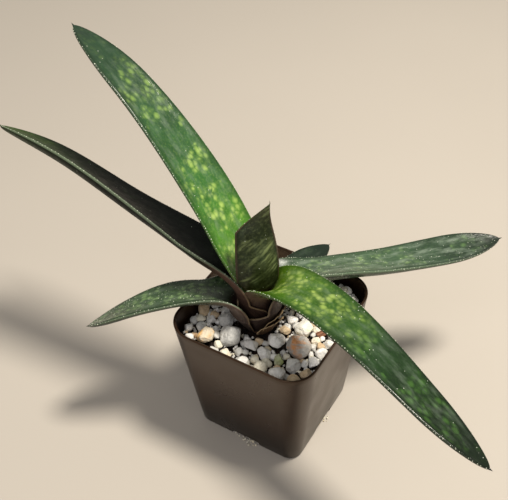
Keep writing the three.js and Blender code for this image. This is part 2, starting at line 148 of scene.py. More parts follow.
class Finish:
    """One material, and short ways to add the nodes that drive it."""

    def __init__(self, name, roughness=0.5, specular=0.5):
        self.material = bpy.data.materials.new(name)
        self.material.use_nodes = True
        self.tree = self.material.node_tree
        self.shader = self.tree.nodes["Principled BSDF"]
        self.shader.inputs["Roughness"].default_value = roughness
        self.shader.inputs["Specular IOR Level"].default_value = specular
        self.place = self.add("ShaderNodeTexCoord").outputs["Object"]

    def add(self, kind, **settings):
        node = self.tree.nodes.new(kind)
        for key, value in settings.items():
            setattr(node, key, value)
        return node

    def feed(self, socket, value):
        if isinstance(value, bpy.types.NodeSocket):
            self.tree.links.new(value, socket)
        elif isinstance(value, (tuple, list)) and len(value) == 3 and socket.type == "RGBA":
            socket.default_value = (*value, 1)
        else:
            socket.default_value = value

    def math(self, operation, first, second=0.0, third=None):
        node = self.add("ShaderNodeMath", operation=operation)
        self.feed(node.inputs[0], first)
        self.feed(node.inputs[1], second)
        if third is not None:
            self.feed(node.inputs[2], third)
        return node.outputs[0]

    def times(self, first, *factors):
        for factor in factors:
            first = self.math("MULTIPLY", first, factor)
        return first

    def waver(self, value, pattern, amount):
        """Moves a value up and down by a noise pattern."""
        return self.math("ADD", value, self.times(self.math("SUBTRACT", pattern, 0.5), amount))

    def attribute(self, name):
        return self.add("ShaderNodeAttribute", attribute_name=name).outputs["Vector"]

    def split(self, value, kind="XYZ"):
        """The three parts of a place, or of a colour when kind is Color."""
        node = self.add("ShaderNodeSeparate" + kind)
        self.feed(node.inputs[0], value)
        return node.outputs

    def fade(self, value, start, end, low=0.0, high=1.0):
        """Goes smoothly from low to high while value goes from start to end."""
        node = self.add("ShaderNodeMapRange", interpolation_type="SMOOTHSTEP")
        for socket, given in zip(node.inputs, (value, start, end, low, high)):
            self.feed(socket, given)
        return node.outputs[0]

    def mix(self, share, first, second, kind="MIX"):
        node = self.add("ShaderNodeMix", data_type="RGBA", blend_type=kind)
        self.feed(node.inputs[0], share)
        self.feed(node.inputs[6], first)
        self.feed(node.inputs[7], second)
        return node.outputs[2]

    def ramp(self, value, *stops):
        node = self.add("ShaderNodeValToRGB")
        self.feed(node.inputs[0], value)
        band = node.color_ramp
        while len(band.elements) < len(stops):
            band.elements.new(0.5)
        for element, (position, tone) in zip(band.elements, stops):
            element.position = position
            element.color = (*tone, 1)
        return node.outputs[0]

    def stretch(self, vector, x, y, z):
        node = self.add("ShaderNodeVectorMath", operation="MULTIPLY")
        self.feed(node.inputs[0], vector)
        node.inputs[1].default_value = (x, y, z)
        return node.outputs[0]

    def shift(self, vector, by, amount):
        """Moves a pattern's place by a noise colour, around no move at all."""
        centred = self.add("ShaderNodeVectorMath", operation="SUBTRACT")
        self.feed(centred.inputs[0], by)
        centred.inputs[1].default_value = (0.5, 0.5, 0.5)
        moved = self.add("ShaderNodeVectorMath", operation="MULTIPLY_ADD")
        self.feed(moved.inputs[0], centred.outputs[0])
        moved.inputs[1].default_value = (amount, amount, amount)
        self.feed(moved.inputs[2], vector)
        return moved.outputs[0]

    def noise(self, vector, scale, detail=2.0, rough=0.5, distortion=0.0):
        node = self.add("ShaderNodeTexNoise")
        self.feed(node.inputs["Vector"], vector)
        node.inputs["Scale"].default_value = scale
        node.inputs["Detail"].default_value = detail
        node.inputs["Roughness"].default_value = rough
        node.inputs["Distortion"].default_value = distortion
        return node

    def cells(self, vector, scale, feature="F1", spread=1.0):
        node = self.add("ShaderNodeTexVoronoi", feature=feature)
        self.feed(node.inputs["Vector"], vector)
        node.inputs["Scale"].default_value = scale
        node.inputs["Randomness"].default_value = spread
        return node

    def colour(self, value):
        self.feed(self.shader.inputs["Base Color"], value)

    def roughness(self, value):
        self.feed(self.shader.inputs["Roughness"], value)

    def relief(self, height, depth, strength=1.0):
        """Raises the surface by a height pattern; depth in metres."""
        node = self.add("ShaderNodeBump")
        node.inputs["Strength"].default_value = strength
        node.inputs["Distance"].default_value = depth
        self.feed(node.inputs["Height"], height)
        before = self.shader.inputs["Normal"].links
        if before:
            self.feed(node.inputs["Normal"], before[0].from_socket)
        self.feed(self.shader.inputs["Normal"], node.outputs[0])


# ---------------------------------------------------------------- making pieces

def clear_selection():
    if bpy.context.object and bpy.context.object.mode != "OBJECT":
        bpy.ops.object.mode_set(mode="OBJECT")
    bpy.ops.object.select_all(action="DESELECT")


def pick(piece):
    """Makes one piece the active one, and the only one selected."""
    clear_selection()
    piece.select_set(True)
    bpy.context.view_layer.objects.active = piece


def edit_all():
    """Opens the active piece's mesh with all of it selected."""
    bpy.ops.object.mode_set(mode="EDIT")
    bpy.ops.mesh.select_all(action="SELECT")


def unselect_mesh(piece, kind="VERT"):
    """Leaves none of a piece's mesh selected, and sets what is selected next: points or edges."""
    pick(piece)
    bpy.ops.object.mode_set(mode="EDIT")
    bpy.ops.mesh.select_mode(type=kind)
    bpy.ops.mesh.select_all(action="DESELECT")
    bpy.ops.object.mode_set(mode="OBJECT")


def apply_place(piece):
    pick(piece)
    bpy.ops.object.transform_apply(location=True, rotation=True, scale=True)


def face_outwards(piece):
    unselect_mesh(piece)
    edit_all()
    bpy.ops.mesh.normals_make_consistent(inside=False)
    bpy.ops.object.mode_set(mode="OBJECT")


def smooth_over(piece, degrees=None):
    pick(piece)
    if degrees is None:
        bpy.ops.object.shade_smooth()
    else:
        bpy.ops.object.shade_smooth_by_angle(angle=math.radians(degrees))


def apply_modifier(piece, kind, **settings):
    pick(piece)
    bpy.ops.object.modifier_add(type=kind)
    modifier = piece.modifiers[-1]
    for key, value in settings.items():
        setattr(modifier, key, value)
    bpy.ops.object.modifier_apply(modifier=modifier.name)


def name_piece(name):
    piece = bpy.context.object
    piece.name = name
    piece.data.name = name
    return piece


def ball(name, rounds):
    """A ball with a radius of one, to be worn into a stone or shrunk to a bead."""
    clear_selection()
    bpy.ops.mesh.primitive_ico_sphere_add(subdivisions=rounds, radius=1, location=(0, 0, 0))
    return name_piece(name)


def finish_piece(piece, material, slot, *nodes):
    """Gives a piece its material, puts it on the plant's body and hides the CAD parts it stands for. The
    slot is not used.
    """
    piece.data.materials.clear()
    piece.data.materials.append(material)
    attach(piece, "root")
    if nodes:
        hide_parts(*nodes)
    return piece


def copies(name, seed, places):
    """One piece made of copies of a small shape, each turned, stretched and put in its place."""
    shape = [v.co.copy() for v in seed.data.vertices]
    loops = [tuple(f.vertices) for f in seed.data.polygons]
    points, faces = [], []
    for place in places:
        first = len(points)
        points.extend(place @ co for co in shape)
        faces.extend(tuple(first + i for i in loop) for loop in loops)
    mesh = bpy.data.meshes.new(name)
    mesh.from_pydata(points, [], faces)
    mesh.update()
    piece = bpy.data.objects.new(name, mesh)
    bpy.context.scene.collection.objects.link(piece)
    smooth_over(piece)
    return piece


def turned(*angles):
    return Euler(angles).to_matrix().to_4x4()


def any_turn(random):
    return turned(*[random.uniform(0, FULL_TURN) for _ in range(3)])


def put(spot, turn, size):
    """Where a copy goes: its place, its turn and its size along its own three axes."""
    return Matrix.Translation(spot) @ turn @ Matrix.Diagonal((*size, 1))


def store(piece, name, values):
    """Keeps three numbers with each point of a piece, for its material to read."""
    attribute = piece.data.attributes.new(name, "FLOAT_VECTOR", "POINT")
    attribute.data.foreach_set("vector", [part for value in values for part in value])


def drop(piece):
    bpy.data.objects.remove(piece)


# ---------------------------------------------------------------- pot

CORNER_STEPS = 12


def outline_point(index, side, corner, inset, z):
    """A point of the pot's rounded square, counted round it from the start of a corner."""
    around = index % (4 * (CORNER_STEPS + 1))
    quarter, step = divmod(around, CORNER_STEPS + 1)
    radius = max(corner - inset, 0.4 * MM)
    reach = side / 2 - inset - radius
    turn = math.radians(90 * quarter + 90 * step / CORNER_STEPS)
    centre_x = reach if quarter in (0, 3) else -reach
    centre_y = reach if quarter in (0, 1) else -reach
    return Vector((centre_x + radius * math.cos(turn), centre_y + radius * math.sin(turn), z))


def pot_side(pot, z):
    return lerp(pot.foot_side, pot.rim_side, z / pot.height)


def pot_corner(pot, z):
    return lerp(pot.foot_corner, pot.rim_corner, z / pot.height)


def pot_profile(pot):
    """Heights and insets up the outside, over the lip and down the inside to the floor."""
    steps = [(0.0, pot.foot_rounding)]
    for k in range(1, 6):
        turn = math.radians(18 * k)
        steps.append((
            pot.foot_rounding * (1 - math.cos(turn)),
            pot.foot_rounding * (1 - math.sin(turn)),
        ))
    for share in (0.12, 0.3, 0.5, 0.7, 0.85, 0.95):
        steps.append((pot.height * share, 0.0))
    lip = pot.wall / 2
    for k in range(7):
        turn = math.radians(30 * k)
        steps.append((pot.height - lip * (1 - math.sin(turn)), lip * (1 - math.cos(turn))))
    for share in (0.9, 0.7, 0.45, 0.2):
        steps.append((pot.height * share, pot.wall))
    steps.append((pot.floor + pot.foot_rounding, pot.wall))
    steps.append((pot.floor + 0.3 * pot.foot_rounding, pot.wall + 0.3 * pot.foot_rounding))
    steps.append((pot.floor, pot.wall + pot.foot_rounding))
    return steps


class GASTERIA_OT_build_pot(bpy.types.Operator):
    """Builds the square nursery pot with its lip and drain slots"""
    bl_idname = "gasteria.build_pot"
    bl_label = "Pot"

    def execute(self, context):
        pot = context.scene.gasteria_pot
        clear_selection()
        bpy.ops.mesh.primitive_plane_add(size=pot.foot_side, location=(0, 0, 0))
        piece = name_piece("nursery_pot")
        edit_all()
        bpy.ops.mesh.bevel(offset=pot.foot_corner, segments=CORNER_STEPS, affect="VERTICES")
        steps = pot_profile(pot)
        lift = pot.height / 40  # any small step, as each ring gets its own height below
        for _ in steps[1:]:
            bpy.ops.mesh.extrude_region_move(TRANSFORM_OT_translate={"value": (0, 0, lift)})
        bpy.ops.object.mode_set(mode="OBJECT")
        # The extruded rings are told apart by height, and each point by its turn round the ring.
        levels = {}
        for vertex in piece.data.vertices:
            levels.setdefault(round(vertex.co.z / lift), []).append(vertex)
        start = outline_point(0, pot.foot_side, pot.foot_corner, 0, 0)
        first = math.atan2(start.y, start.x)
        for level, ring in levels.items():
            ring.sort(key=lambda v: (math.atan2(v.co.y, v.co.x) - first + 1e-4) % (2 * math.pi))
            z, inset = steps[level]
            for index, vertex in enumerate(ring):
                vertex.co = outline_point(index, pot_side(pot, z), pot_corner(pot, z), inset, z)
        face_outwards(piece)
        for quarter in range(4):
            self.cut_slot(piece, pot, 90 * quarter)
        smooth_over(piece, 35)
        finish_piece(piece, self.plastic(pot), "pot_plastic", "pot")
        return {"FINISHED"}

    def cut_slot(self, piece, pot, turn):
        clear_selection()
        length = 10 * MM
        bpy.ops.mesh.primitive_cube_add(size=1, location=(0, 0, 0))
        cutter = name_piece("slot_cutter")
        cutter.scale = (length, pot.slot_width, 2 * pot.slot_height)
        cutter.location = (pot.foot_side / 2 - pot.slot_reach + length / 2, 0, 0)
        apply_place(cutter)
        edit_all()
        bpy.ops.mesh.bevel(offset=0.9 * MM, segments=3, affect="EDGES")
        bpy.ops.object.mode_set(mode="OBJECT")
        cutter.rotation_euler = Euler((0, 0, math.radians(turn)))
        apply_place(cutter)
        apply_modifier(piece, "BOOLEAN", object=cutter, operation="DIFFERENCE", solver="EXACT")
        drop(cutter)

    def plastic(self, pot):
        finish = Finish("pot plastic", roughness=0.33, specular=0.62)
        finish.shader.inputs["Specular Tint"].default_value = (0.84, 0.6, 0.42, 1)
        base = tuple(pot.plastic)
        cloud = finish.noise(finish.place, 40, 3, 0.55).outputs[0]
        dust = finish.noise(finish.place, 900, 3, 0.6).outputs[0]
        height = finish.split(finish.place)[2]
        # Painted shade: the plastic darkens to near black below about 30 mm, toward the foot.
        low = finish.fade(height, 0.03, 0.006)
        tone = finish.mix(finish.fade(cloud, 0.3, 0.75), base, tuple(1.35 * c for c in base))
        tone = finish.mix(low, tone, tuple(0.12 * c for c in base))
        near_foot = finish.math("MULTIPLY_ADD", finish.fade(height, 0.014, 0.0), 0.4, 0.05)
        grit = finish.times(finish.fade(dust, 0.64, 0.76), near_foot)
        finish.colour(finish.mix(grit, tone, shade("8d7a66")))
        scuffs = finish.noise(finish.place, 60, 3, 0.5).outputs[0]
        finish.roughness(finish.fade(scuffs, 0.3, 0.75, 0.27, 0.36))
        finish.relief(finish.noise(finish.place, 1600, 2).outputs[0], 0.00004, 0.4)
        return finish.material


# ---------------------------------------------------------------- filling

class GASTERIA_OT_finish_filling(bpy.types.Operator):
    """Gives the potting mix and the stem with its roots their materials"""
    bl_idname = "gasteria.finish_filling"
    bl_label = "Potting Mix"

    def execute(self, context):
        bed = context.scene.gasteria_bed
        mix = Finish("potting mix", roughness=0.92, specular=0.25)
        crumbs = mix.cells(mix.place, 620).outputs["Distance"]
        bits = mix.noise(mix.place, 420, 4, 0.65).outputs[0]
        soil = tuple(bed.soil)
        tone = mix.mix(mix.fade(bits, 0.4, 0.7), soil, shade("3a2a20"))
        flecks = mix.noise(mix.place, 1500, 2).outputs[0]
        mix.colour(mix.mix(mix.fade(flecks, 0.68, 0.78), tone, shade("7d6a55")))
        mix.relief(crumbs, 0.0012, 0.8)
        mix.relief(bits, 0.0009, 0.7)
        self.dress("potting_mix", mix)

        root = Finish("root bark", roughness=0.75, specular=0.3)
        rings = root.noise(root.stretch(root.place, 1, 1, 5), 260, 3).outputs[0]
        root.colour(root.ramp(
            rings, (0.3, shade("4c382c")), (0.55, shade("7c5c48")), (0.8, shade("a1866a")),
        ))
        root.relief(rings, 0.0007, 0.6)
        self.dress("stem_and_roots", root)
        return {"FINISHED"}

    def dress(self, node, finish):
        materials = frame["nodes"][node].data.materials
        materials.clear()
        materials.append(finish.material)


# ---------------------------------------------------------------- leaves

class Leaf:
    """The shape and look of one leaf: a sheath round the stem, then a fleshy blade with a point.

    rank counts the sheaths from the heart, rise is the height over the collar where the blade
    starts, wrap and dish are half the angle of the section's arc there and along the blade, and
    clasp is half the angle that the sheath goes round the stem at its foot. yaw, pitch and roll
    go from the blade's start to its tip, closer together near its base. tip_share is the part of the blade
    that narrows to the tip, and a one-sided leaf has its tip over to one margin.
    """

    def __init__(self, name, rank, rise, length, width, wrap, dish, yaw, pitch, roll, thickness=5.2,
                 clasp=None, one_sided=0.0, tip_share=0.24, slot="", kind=""):
        self.name, self.rank, self.rise = name, rank, rise * MM
        self.length, self.width = length * MM, width * MM
        self.wrap, self.dish = math.radians(wrap), math.radians(dish)
        self.clasp = math.radians(clasp or wrap)
        self.yaw, self.pitch, self.roll = yaw, pitch, roll
        self.thickness, self.one_sided, self.tip_share = thickness * MM, one_sided, tip_share
        self.slot, self.kind = slot, kind


LEAVES = [
    Leaf("leaf_centre", 0, 20, 47.5, 18.5, 85, 15, [-50, -47, -43], [86, 87, 87, 107, 107],
         [0, 0, 0, 20], 3.6, one_sided=-0.84, tip_share=0.25, slot="leaf_young", kind="young"),
    Leaf("leaf_upright_left", 1, 15, 143, 24, 98, 10, [168, 169, 171], [85, 77, 52, 40, 22],
         [0, -2, -8, -11], clasp=165, slot="leaf_spotted", kind="upright"),
    Leaf("leaf_front_right", 2, 19, 131, 22, 109, 3, [-12, -18, -18], [86, 51, 5, -14, -15],
         [0, -3, 11, 20], clasp=165, slot="leaf_spotted", kind="front"),
    Leaf("leaf_far_left", 3, 19, 135, 24, 100, 17, [179, 182, 183], [85, 33, 19, 22, 2],
         [0, -13, -35, -38], clasp=165, slot="leaf_dark", kind="far"),
    Leaf("leaf_right", 4, 14, 112, 22, 89, 11, [56, 50, 44], [84, 15, -12, -3, 3],
         [0, 20, 15, -9], clasp=165, slot="leaf_grey_green", kind="right"),
    Leaf("leaf_low_left", 5, 12, 70, 19, 80, 8, [204, 212, 221], [85, 24, -5, -19, -25],
         [0, -15, -13, -29], 4.6, slot="leaf_mottled", kind="low"),
    Leaf("leaf_back_right", 5, 8, 40.5, 15, 42, 10, [78, 78, 78], [85, 48, 12, -5, -10],
         [0, 0, 0, 0], 3.4, tip_share=0.42, slot="leaf_dark", kind="back"),
]
HEART_LEAF_SHEATH = 11 * MM  # height of the heart leaf's own sheath
AXIS = Vector((-4, -5, 0)) * MM  # the stem stands a little off the pot's middle
COLLAR = 60 * MM  # height at which the sheaths start
SHEATH_RINGS = 12
BLADE_RINGS = 72
ACROSS = 24  # steps across one face of a leaf


def along(values, share):
    """A smooth curve through values given at even steps."""
    last = len(values) - 1
    place = min(clamp(share) * last, last - 1e-9)
    i = int(place)
    t = place - i
    a, b, c, d = (values[max(0, min(last, k))] for k in (i - 1, i, i + 1, i + 2))
    bend = (2 * a - 5 * b + 4 * c - d) * t * t + (3 * b - a - 3 * c + d) * t ** 3
    return 0.5 * (2 * b + (c - a) * t + bend)


def sheath_radius(plant, rank, climb):
    """Inside radius of a sheath at its foot (climb 0) or its top (climb 1): each lies round the last."""
    gap = lerp(0.3, 0.4, climb) * MM
    step = lerp(plant.sheath_foot, plant.sheath, climb) + gap
    heart = lerp(plant.heart_foot, plant.heart, climb)
    return heart - step if rank == 0 else heart + step * (rank - 1)


def facing(leaf, s):
    """The blade's directions at a share of its length: along it, to its right and upwards."""
    share = s ** 0.6  # the leaf bends most near its base
    yaw = math.radians(along(leaf.yaw, share))
    pitch = math.radians(along(leaf.pitch, share))
    roll = math.radians(along(leaf.roll, share))
    forward = Vector((
        math.cos(pitch) * math.cos(yaw), math.cos(pitch) * math.sin(yaw), math.sin(pitch),
    ))
    side = Matrix.Rotation(-roll, 3, forward) @ Vector((math.sin(yaw), -math.cos(yaw), 0))
    return forward, side, side.cross(forward)


def leaf_sections(plant, leaf):
    """Every ring of a leaf, from the foot of its sheath to its tip."""
    yaw = math.radians(leaf.yaw[0])
    outward = Vector((math.cos(yaw), math.sin(yaw), 0))
    start = COLLAR + leaf.rise
    foot = start - HEART_LEAF_SHEATH if leaf.rank == 0 else COLLAR
    top_radius = sheath_radius(plant, leaf.rank, 1)
    sections = []
    for step in range(SHEATH_RINGS):
        share = 1 - (1 - step / SHEATH_RINGS) ** 2
        arc = lerp(leaf.clasp, leaf.wrap, share ** 6)
        climb = 0.6 + 0.4 * share if leaf.rank == 0 else share
        radius = lerp(sheath_radius(plant, leaf.rank, 0), top_radius, climb)
        thickness = lerp(plant.sheath_foot, plant.sheath, climb)
        sections.append(dict(
            middle=AXIS + Vector((0, 0, lerp(foot, start, share))) + outward * radius,
            side=Vector((outward.y, -outward.x, 0)), up=-outward,
            width=2 * radius * arc, arc=arc, thickness=thickness,
            edge=thickness * 0.7, s=(share - 1) * 0.2, walked=(share - 1) * (start - foot),
        ))
    middle = AXIS + Vector((0, 0, start)) + outward * top_radius
    foot_share = 2 * top_radius * leaf.wrap / leaf.width
    reached = 0.0
    for step in range(BLADE_RINGS + 1):
        s = 0.5 * (1 - math.cos(math.pi * min(step, BLADE_RINGS - 1.2) / BLADE_RINGS))
        for short in range(4):
            if s > reached:
                piece = (s - reached) / 4
                middle = middle + facing(leaf, reached + piece * (short + 0.5))[0] * leaf.length * piece
        reached = s
        forward, side, up = facing(leaf, s)
        waist = 1 - 0.08 * clamp(1 - s / 0.4) ** 2
        flare = (foot_share - 0.92) * clamp(1 - s / 0.22) ** 1.6
        taper = 1 - 0.36 * clamp((s - 0.4) / 0.6) ** 1.5
        towards = clamp((1 - s) / leaf.tip_share)
        point = 1 - (1 - towards) ** 1.2 if leaf.one_sided else (1 - (1 - towards) ** 2.2) ** 0.62
        fleshy = smooth(s, 0, 0.2)
        full = leaf.thickness * (1 - 0.4 * s * s) * (0.3 + 0.7 * point)
        sidestep = leaf.one_sided * leaf.width / 2 * (1 - point)
        sections.append(dict(
            middle=middle + side * sidestep, side=side, up=up,
            width=leaf.width * (waist + flare) * taper * max(point, 0.02),
            arc=leaf.dish + (leaf.wrap - leaf.dish) * clamp(1 - s / 0.26) ** 1.5,
            thickness=lerp(plant.sheath, full, fleshy),
            edge=lerp(plant.sheath * 0.7, plant.margin, fleshy) * (0.4 + 0.6 * point),
            s=s, walked=s * leaf.length,
        ))
    tip = middle + forward * plant.mucro + side * (leaf.one_sided * leaf.width / 2)
    return sections, tip


def section_point(section, u, lower):
    """A point of a section: u from -1 to 1 across it, on its upper or its lower face."""
    radius = section["width"] / (2 * section["arc"])
    centre = section["middle"] + section["up"] * radius
    edge = section["edge"]
    inset = (1 - abs(u)) * section["width"] / 2
    lift = math.sqrt(max(0.0, 1 - (1 - min(inset / (edge / 2), 1)) ** 2))
    depth = edge / 2
    if lower:
        depth += edge / 2 * lift + (section["thickness"] - edge) * (1 - abs(u) ** 2.5)
    else:
        depth -= edge / 2 * lift
    reach = radius + depth
    turn = u * section["arc"]
    return centre + section["side"] * reach * math.sin(turn) - section["up"] * reach * math.cos(turn)


def stations(section):
    """Places across a section, close together at its rounded margins."""
    rounding = min(section["edge"] / section["width"], 0.3)
    near = [1, 1 - 0.12 * rounding, 1 - 0.45 * rounding, 1 - rounding]
    inner = ACROSS - 6
    flat = [lerp(-near[3], near[3], k / inner) for k in range(1, inner)]
    return [-n for n in near] + flat + near[::-1]


def shape_leaf(piece, plant, leaf):
    """Moves the rings of a subdivided cylinder onto the leaf's sections."""
    sections, tip = leaf_sections(plant, leaf)
    rings = len(sections)
    around = 2 * ACROSS
    blade = [(0.0, 0.0, 0.0)] * len(piece.data.vertices)
    marks = [(0.0, 0.0, 0.0)] * len(piece.data.vertices)
    for vertex in piece.data.vertices:
        level = round((vertex.co.z + 0.5) * (rings - 1))
        section = sections[max(0, min(rings - 1, level))]
        if vertex.co.xy.length < 0.2:
            vertex.co = tip if level > 1 else section_point(section, 0, False).lerp(
                section_point(section, 0, True), 0.5)
            blade[vertex.index] = (0, section["walked"] / MM, 0)
            marks[vertex.index] = (0, section["s"], 0.5)
            continue
        index = round(math.atan2(vertex.co.y, vertex.co.x) / (2 * math.pi) * around) % around
        lower = index > ACROSS
        u = stations(section)[index if not lower else around - index]
        vertex.co = section_point(section, u, lower)
        blade[vertex.index] = (
            u * section["width"] / 2 / MM, section["walked"] / MM, 40.0 if lower else 0.0,
        )
        marks[vertex.index] = (abs(u), section["s"], 0.0 if lower else 1.0)
    store(piece, "blade", blade)
    store(piece, "leaf", marks)
    return sections


def leaf_blank(name, rings):
    """A cylinder with a ring of edges for every section of a leaf."""
    clear_selection()
    bpy.ops.mesh.primitive_cylinder_add(
        vertices=2 * ACROSS, radius=1, depth=1, end_fill_type="TRIFAN", location=(0, 0, 0),
    )
    piece = name_piece(name)
    unselect_mesh(piece, "EDGE")
    for edge in piece.data.edges:
        a, b = (piece.data.vertices[i].co for i in edge.vertices)
        edge.select = abs(a.z - b.z) > 0.5
    bpy.ops.object.mode_set(mode="EDIT")
    bpy.ops.mesh.subdivide(number_cuts=rings - 2)
    bpy.ops.object.mode_set(mode="OBJECT")
    return piece


# How each kind of leaf is coloured. tones go along it. spot turns to far_spot over the stretch dim,
# where the spots weaken to the share far, and from thin on they thin out. cell is the millimetres
# between spots, size their width within it, and a higher band leaves fewer. bloom_and_sheen is the
# greyish waxy coat with a painted sheen laid on in it, specks the white dots, rim the tint of the
# margin, rough and gloss the surface.
LOOKS = {
    "upright": dict(
        tones=[(0.0, "6a7028"), (0.06, "5c8822"), (0.2, "4f8624"), (0.4, "33642a"), (0.7, "28482c"),
               (1.0, "1e3424")],
        spot="abc765", far_spot="86a552", dim=(0.3, 0.7), far=0.55, thin=0.72, cell=2.3, size=0.42,
        band=0.485, bloom_and_sheen=0.3, rough=0.25, gloss=0.4, specks=0.15, rim=0.1),
    # Painted shade: the front leaf's tones go near black toward the tip, where it bends down away from the
    # light.
    "front": dict(
        tones=[(0.0, "6f7d16"), (0.08, "55780f"), (0.2, "3f6614"), (0.35, "2f5219"), (0.55, "1f3b1a"),
               (0.75, "12250f"), (1.0, "0a160a")],
        spot="96ac55", far_spot="41672a", dim=(0.28, 0.6), far=0.5, thin=0.8, cell=2.3, size=0.42,
        band=0.45, bloom_and_sheen=0.22, rough=0.22, gloss=0.3, specks=0.4, rim=0.08),
    "right": dict(
        tones=[(0.0, "33492a"), (0.12, "2f4a30"), (0.45, "3a563a"), (0.7, "2c452e"), (0.9, "1b2c1e"),
               (1.0, "121e14")],
        spot="7f9a64", far_spot="5f7f4c", dim=(0.5, 0.9), far=0.5, thin=0.8, cell=2.4, size=0.36,
        band=0.5, bloom_and_sheen=0.62, rough=0.29, gloss=0.5, specks=0.8, rim=0.22),
    # Painted shade: the far leaf's tones are near black, for the shade it lies in under the upright leaf.
    "far": dict(
        tones=[(0.0, "101a0e"), (0.2, "060d08"), (0.55, "0a130b"), (0.8, "203018"), (1.0, "3a4c24")],
        spot="22381a", far_spot="4a5f30", dim=(0.5, 0.9), far=0.4, thin=0.9, cell=3.0, size=0.28,
        band=0.56, bloom_and_sheen=0.0, rough=0.42, gloss=0.1, specks=0.15, rim=0.4),
    "low": dict(
        tones=[(0.0, "1e3018"), (0.2, "21391c"), (0.6, "284526"), (1.0, "233824")],
        spot="73905a", far_spot="6a8a55", dim=(0.5, 0.9), far=0.6, thin=0.85, cell=2.0, size=0.40,
        band=0.45, bloom_and_sheen=0.25, rough=0.26, gloss=0.42, specks=1.0, rim=0.28),
    "back": dict(
        tones=[(0.0, "243a20"), (0.3, "16291a"), (1.0, "122217")],
        spot="3a5a2c", far_spot="3a5a2c", dim=(0.5, 0.9), far=0.4, thin=0.7, cell=2.8, size=0.28,
        band=0.55, bloom_and_sheen=0.1, rough=0.36, gloss=0.3, specks=0.3, rim=0.1),
    "young": dict(
        tones=[(0.0, "3a3018"), (0.2, "28290f"), (0.5, "1d2a10"), (0.8, "202811"), (1.0, "2f2c1a")],
        spot="8a9563", far_spot="8a9563", dim=(0.5, 0.9), far=0.75, thin=0.97, cell=2.0, size=0.36,
        band=0.455, bloom_and_sheen=0.06, rough=0.42, gloss=0.22, specks=0.2, rim=0.55, streaks=True),
}


